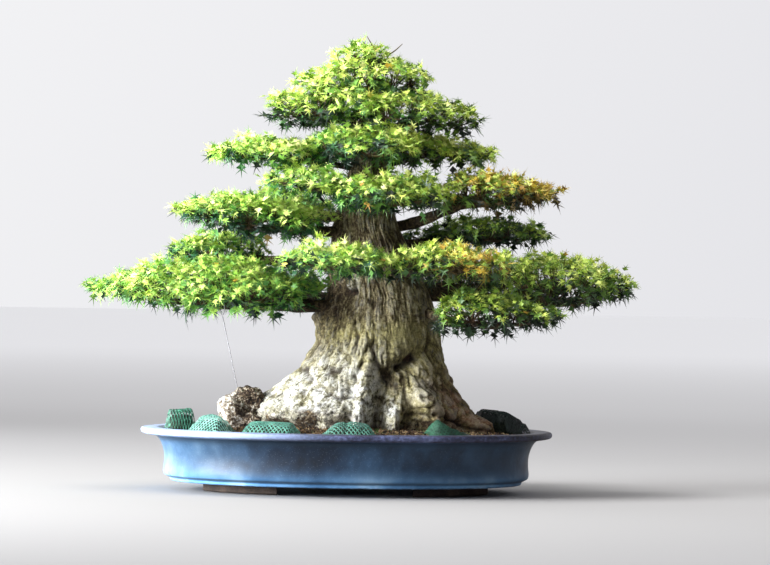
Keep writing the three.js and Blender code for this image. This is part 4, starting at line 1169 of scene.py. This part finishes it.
pressed = Finish("pressed_feed", roughness=0.95)
meal = pressed.at.noise(380, 4, 0.75)
pressed.vary(
    (0.7 * meal + 0.3 * pressed.at.cells(300)).ramp((0.25, "#0c110d"), (0.5, "#1f2a20"), (0.7, "#434a33")),
    height=meal,
    depth=0.0016,
)
for number, (name, values) in enumerate(NETS.items()):
    net = dict(zip(NET_SIZES, values))
    points, faces = net_cells(net)
    netting = shape("net_" + name, points, faces, smooth=False)
    dark, light = net["colours"]
    strand = Finish("net_strand_" + name)
    tone = (0.5 * strand.at.noise(60, 3) + 0.5 * strand.at.noise(600, 2)).between(0.36, 0.62)
    soiled = strand.at.noise(34, 4, 0.6).between(0.6, 0.76)
    strand.vary((0.4 * soiled).blend(tone.ramp((0.0, dark), (1.0, light)), "#3f3a2a"), 0.4 + 0.3 * tone)
    finished(netting, strand.material, "netting", "netting_" + name)

    # The cake fills its net: a dome of a little less than the net's length, width and height.
    turn = full_turn(40)
    reach = np.linspace(1, 0.02, 12)[:, None]
    p, q = 0.43 * net["length"] * reach * np.cos(turn), 0.42 * net["width"] * reach * np.sin(turn)
    points = spot_on_soil(net, p, q)
    points[..., 2] += 0.84 * net_height(net, p, q) * (1 - reach**6) ** 0.33
    points += 0.9 * grain(points, 7, 61 + number)[..., None] * (0.5, 0.5, 0.4) - (0, 0, 0.6)
    cake = ringed("cake_" + name, points)
    finished(cake, pressed.material, "feed_cake", "feed_cake_" + name)

# Guy wire: a dull aluminium wire looped round the low left bough and fastened into the root stump.
wire_metal = Finish("dull_wire", metallic=0.5)
tarnish = wire_metal.at.noise(300, 3)
wire_metal.vary(tarnish.ramp((0.3, "#6d6c6e"), (0.6, "#98979a")), 0.45 + 0.3 * tarnish)
finished(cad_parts["guy_wire"], wire_metal.material, "guy_wire")

# Studio: a pale floor that runs out of sight, darker near the tree and paler and glowing further off, as painted
# light that lets it fade into the room, a large soft light low at the left, fainter ones above and behind at the
# left, and a pale room that is brighter at the left than at the right.
span = 40000
corners = [(-span, -span, -0.6), (span, -span, -0.6), (span, span, -0.6), (-span, span, -0.6)]
floor = shape("floor", np.array(corners), [np.array([[0, 1, 2, 3]])])
paper = Finish("floor_paper", roughness=0.95, specular_ior_level=0.1, emission_strength=1.0)
far = paper.at.node("ShaderNodeVectorMath", {"operation": "LENGTH"}, {0: paper.at}, "Value")
# Painted light: the floor is darker near the tree, and paler and glowing further off.
paper.vary((far / 12).within().ramp((0.05, "#a3a1a0"), (0.35, "#c4c3c3"), (1.0, "#d6d6d7")))
glow = (far / 14).within().ramp((0.1, "#000000"), (0.35, "#626263"), (1.0, "#8a8a8c"))
paper.tree.links.new(glow.socket, paper.shader.inputs["Emission Color"])
floor.data.materials.append(paper.material)


def soft_light(name, place, aim, size, watts, colour):
    """A square light of a given size at a place, turned to face a point."""
    lamp = bpy.data.objects.new(name, bpy.data.lights.new(name, "AREA"))
    bpy.context.collection.objects.link(lamp)
    lamp.data.size, lamp.data.energy, lamp.data.color = size, watts, colour
    lamp.data.spread = radians(100)
    lamp.location = place
    lamp.rotation_euler = (Vector(place) - Vector(aim)).to_track_quat("Z", "Y").to_euler()


soft_light("key_light", (-3.0, -1.25, 0.8), (0, 0, 0.35), 1.5, 122, (0.94, 0.97, 1.0))
soft_light("top_light", (-0.4, -0.3, 3.0), (0, 0, 0.4), 1.6, 22, (1.0, 1.0, 1.0))
soft_light("edge_light", (-2.8, 2.0, 0.5), (0, 0, 0.2), 2.0, 36, (0.92, 0.96, 1.0))
world = bpy.data.worlds.new("pale_room")
bpy.context.scene.world = world
world.use_nodes = True
way = Tone(world.node_tree).node("ShaderNodeTexCoord", {}, {}, "Generated")
right, back, up = (way.node("ShaderNodeSeparateXYZ", {}, {"Vector": way}, axis) for axis in "XYZ")
lit = (0.5 - 0.40 * right + 0.22 * back + 0.3 * up).within()
room = lit.ramp((0.0, "#4a4a50"), (0.28, "#9b9ba1"), (0.62, "#e2e2e7"), (0.80, "#fafafc"), (1.0, "#ffffff"))
world.node_tree.links.new(room.socket, world.node_tree.nodes["Background"].inputs["Color"])
world.node_tree.nodes["Background"].inputs["Strength"].default_value = 0.95
bpy.context.scene.view_settings.view_transform = "Standard"
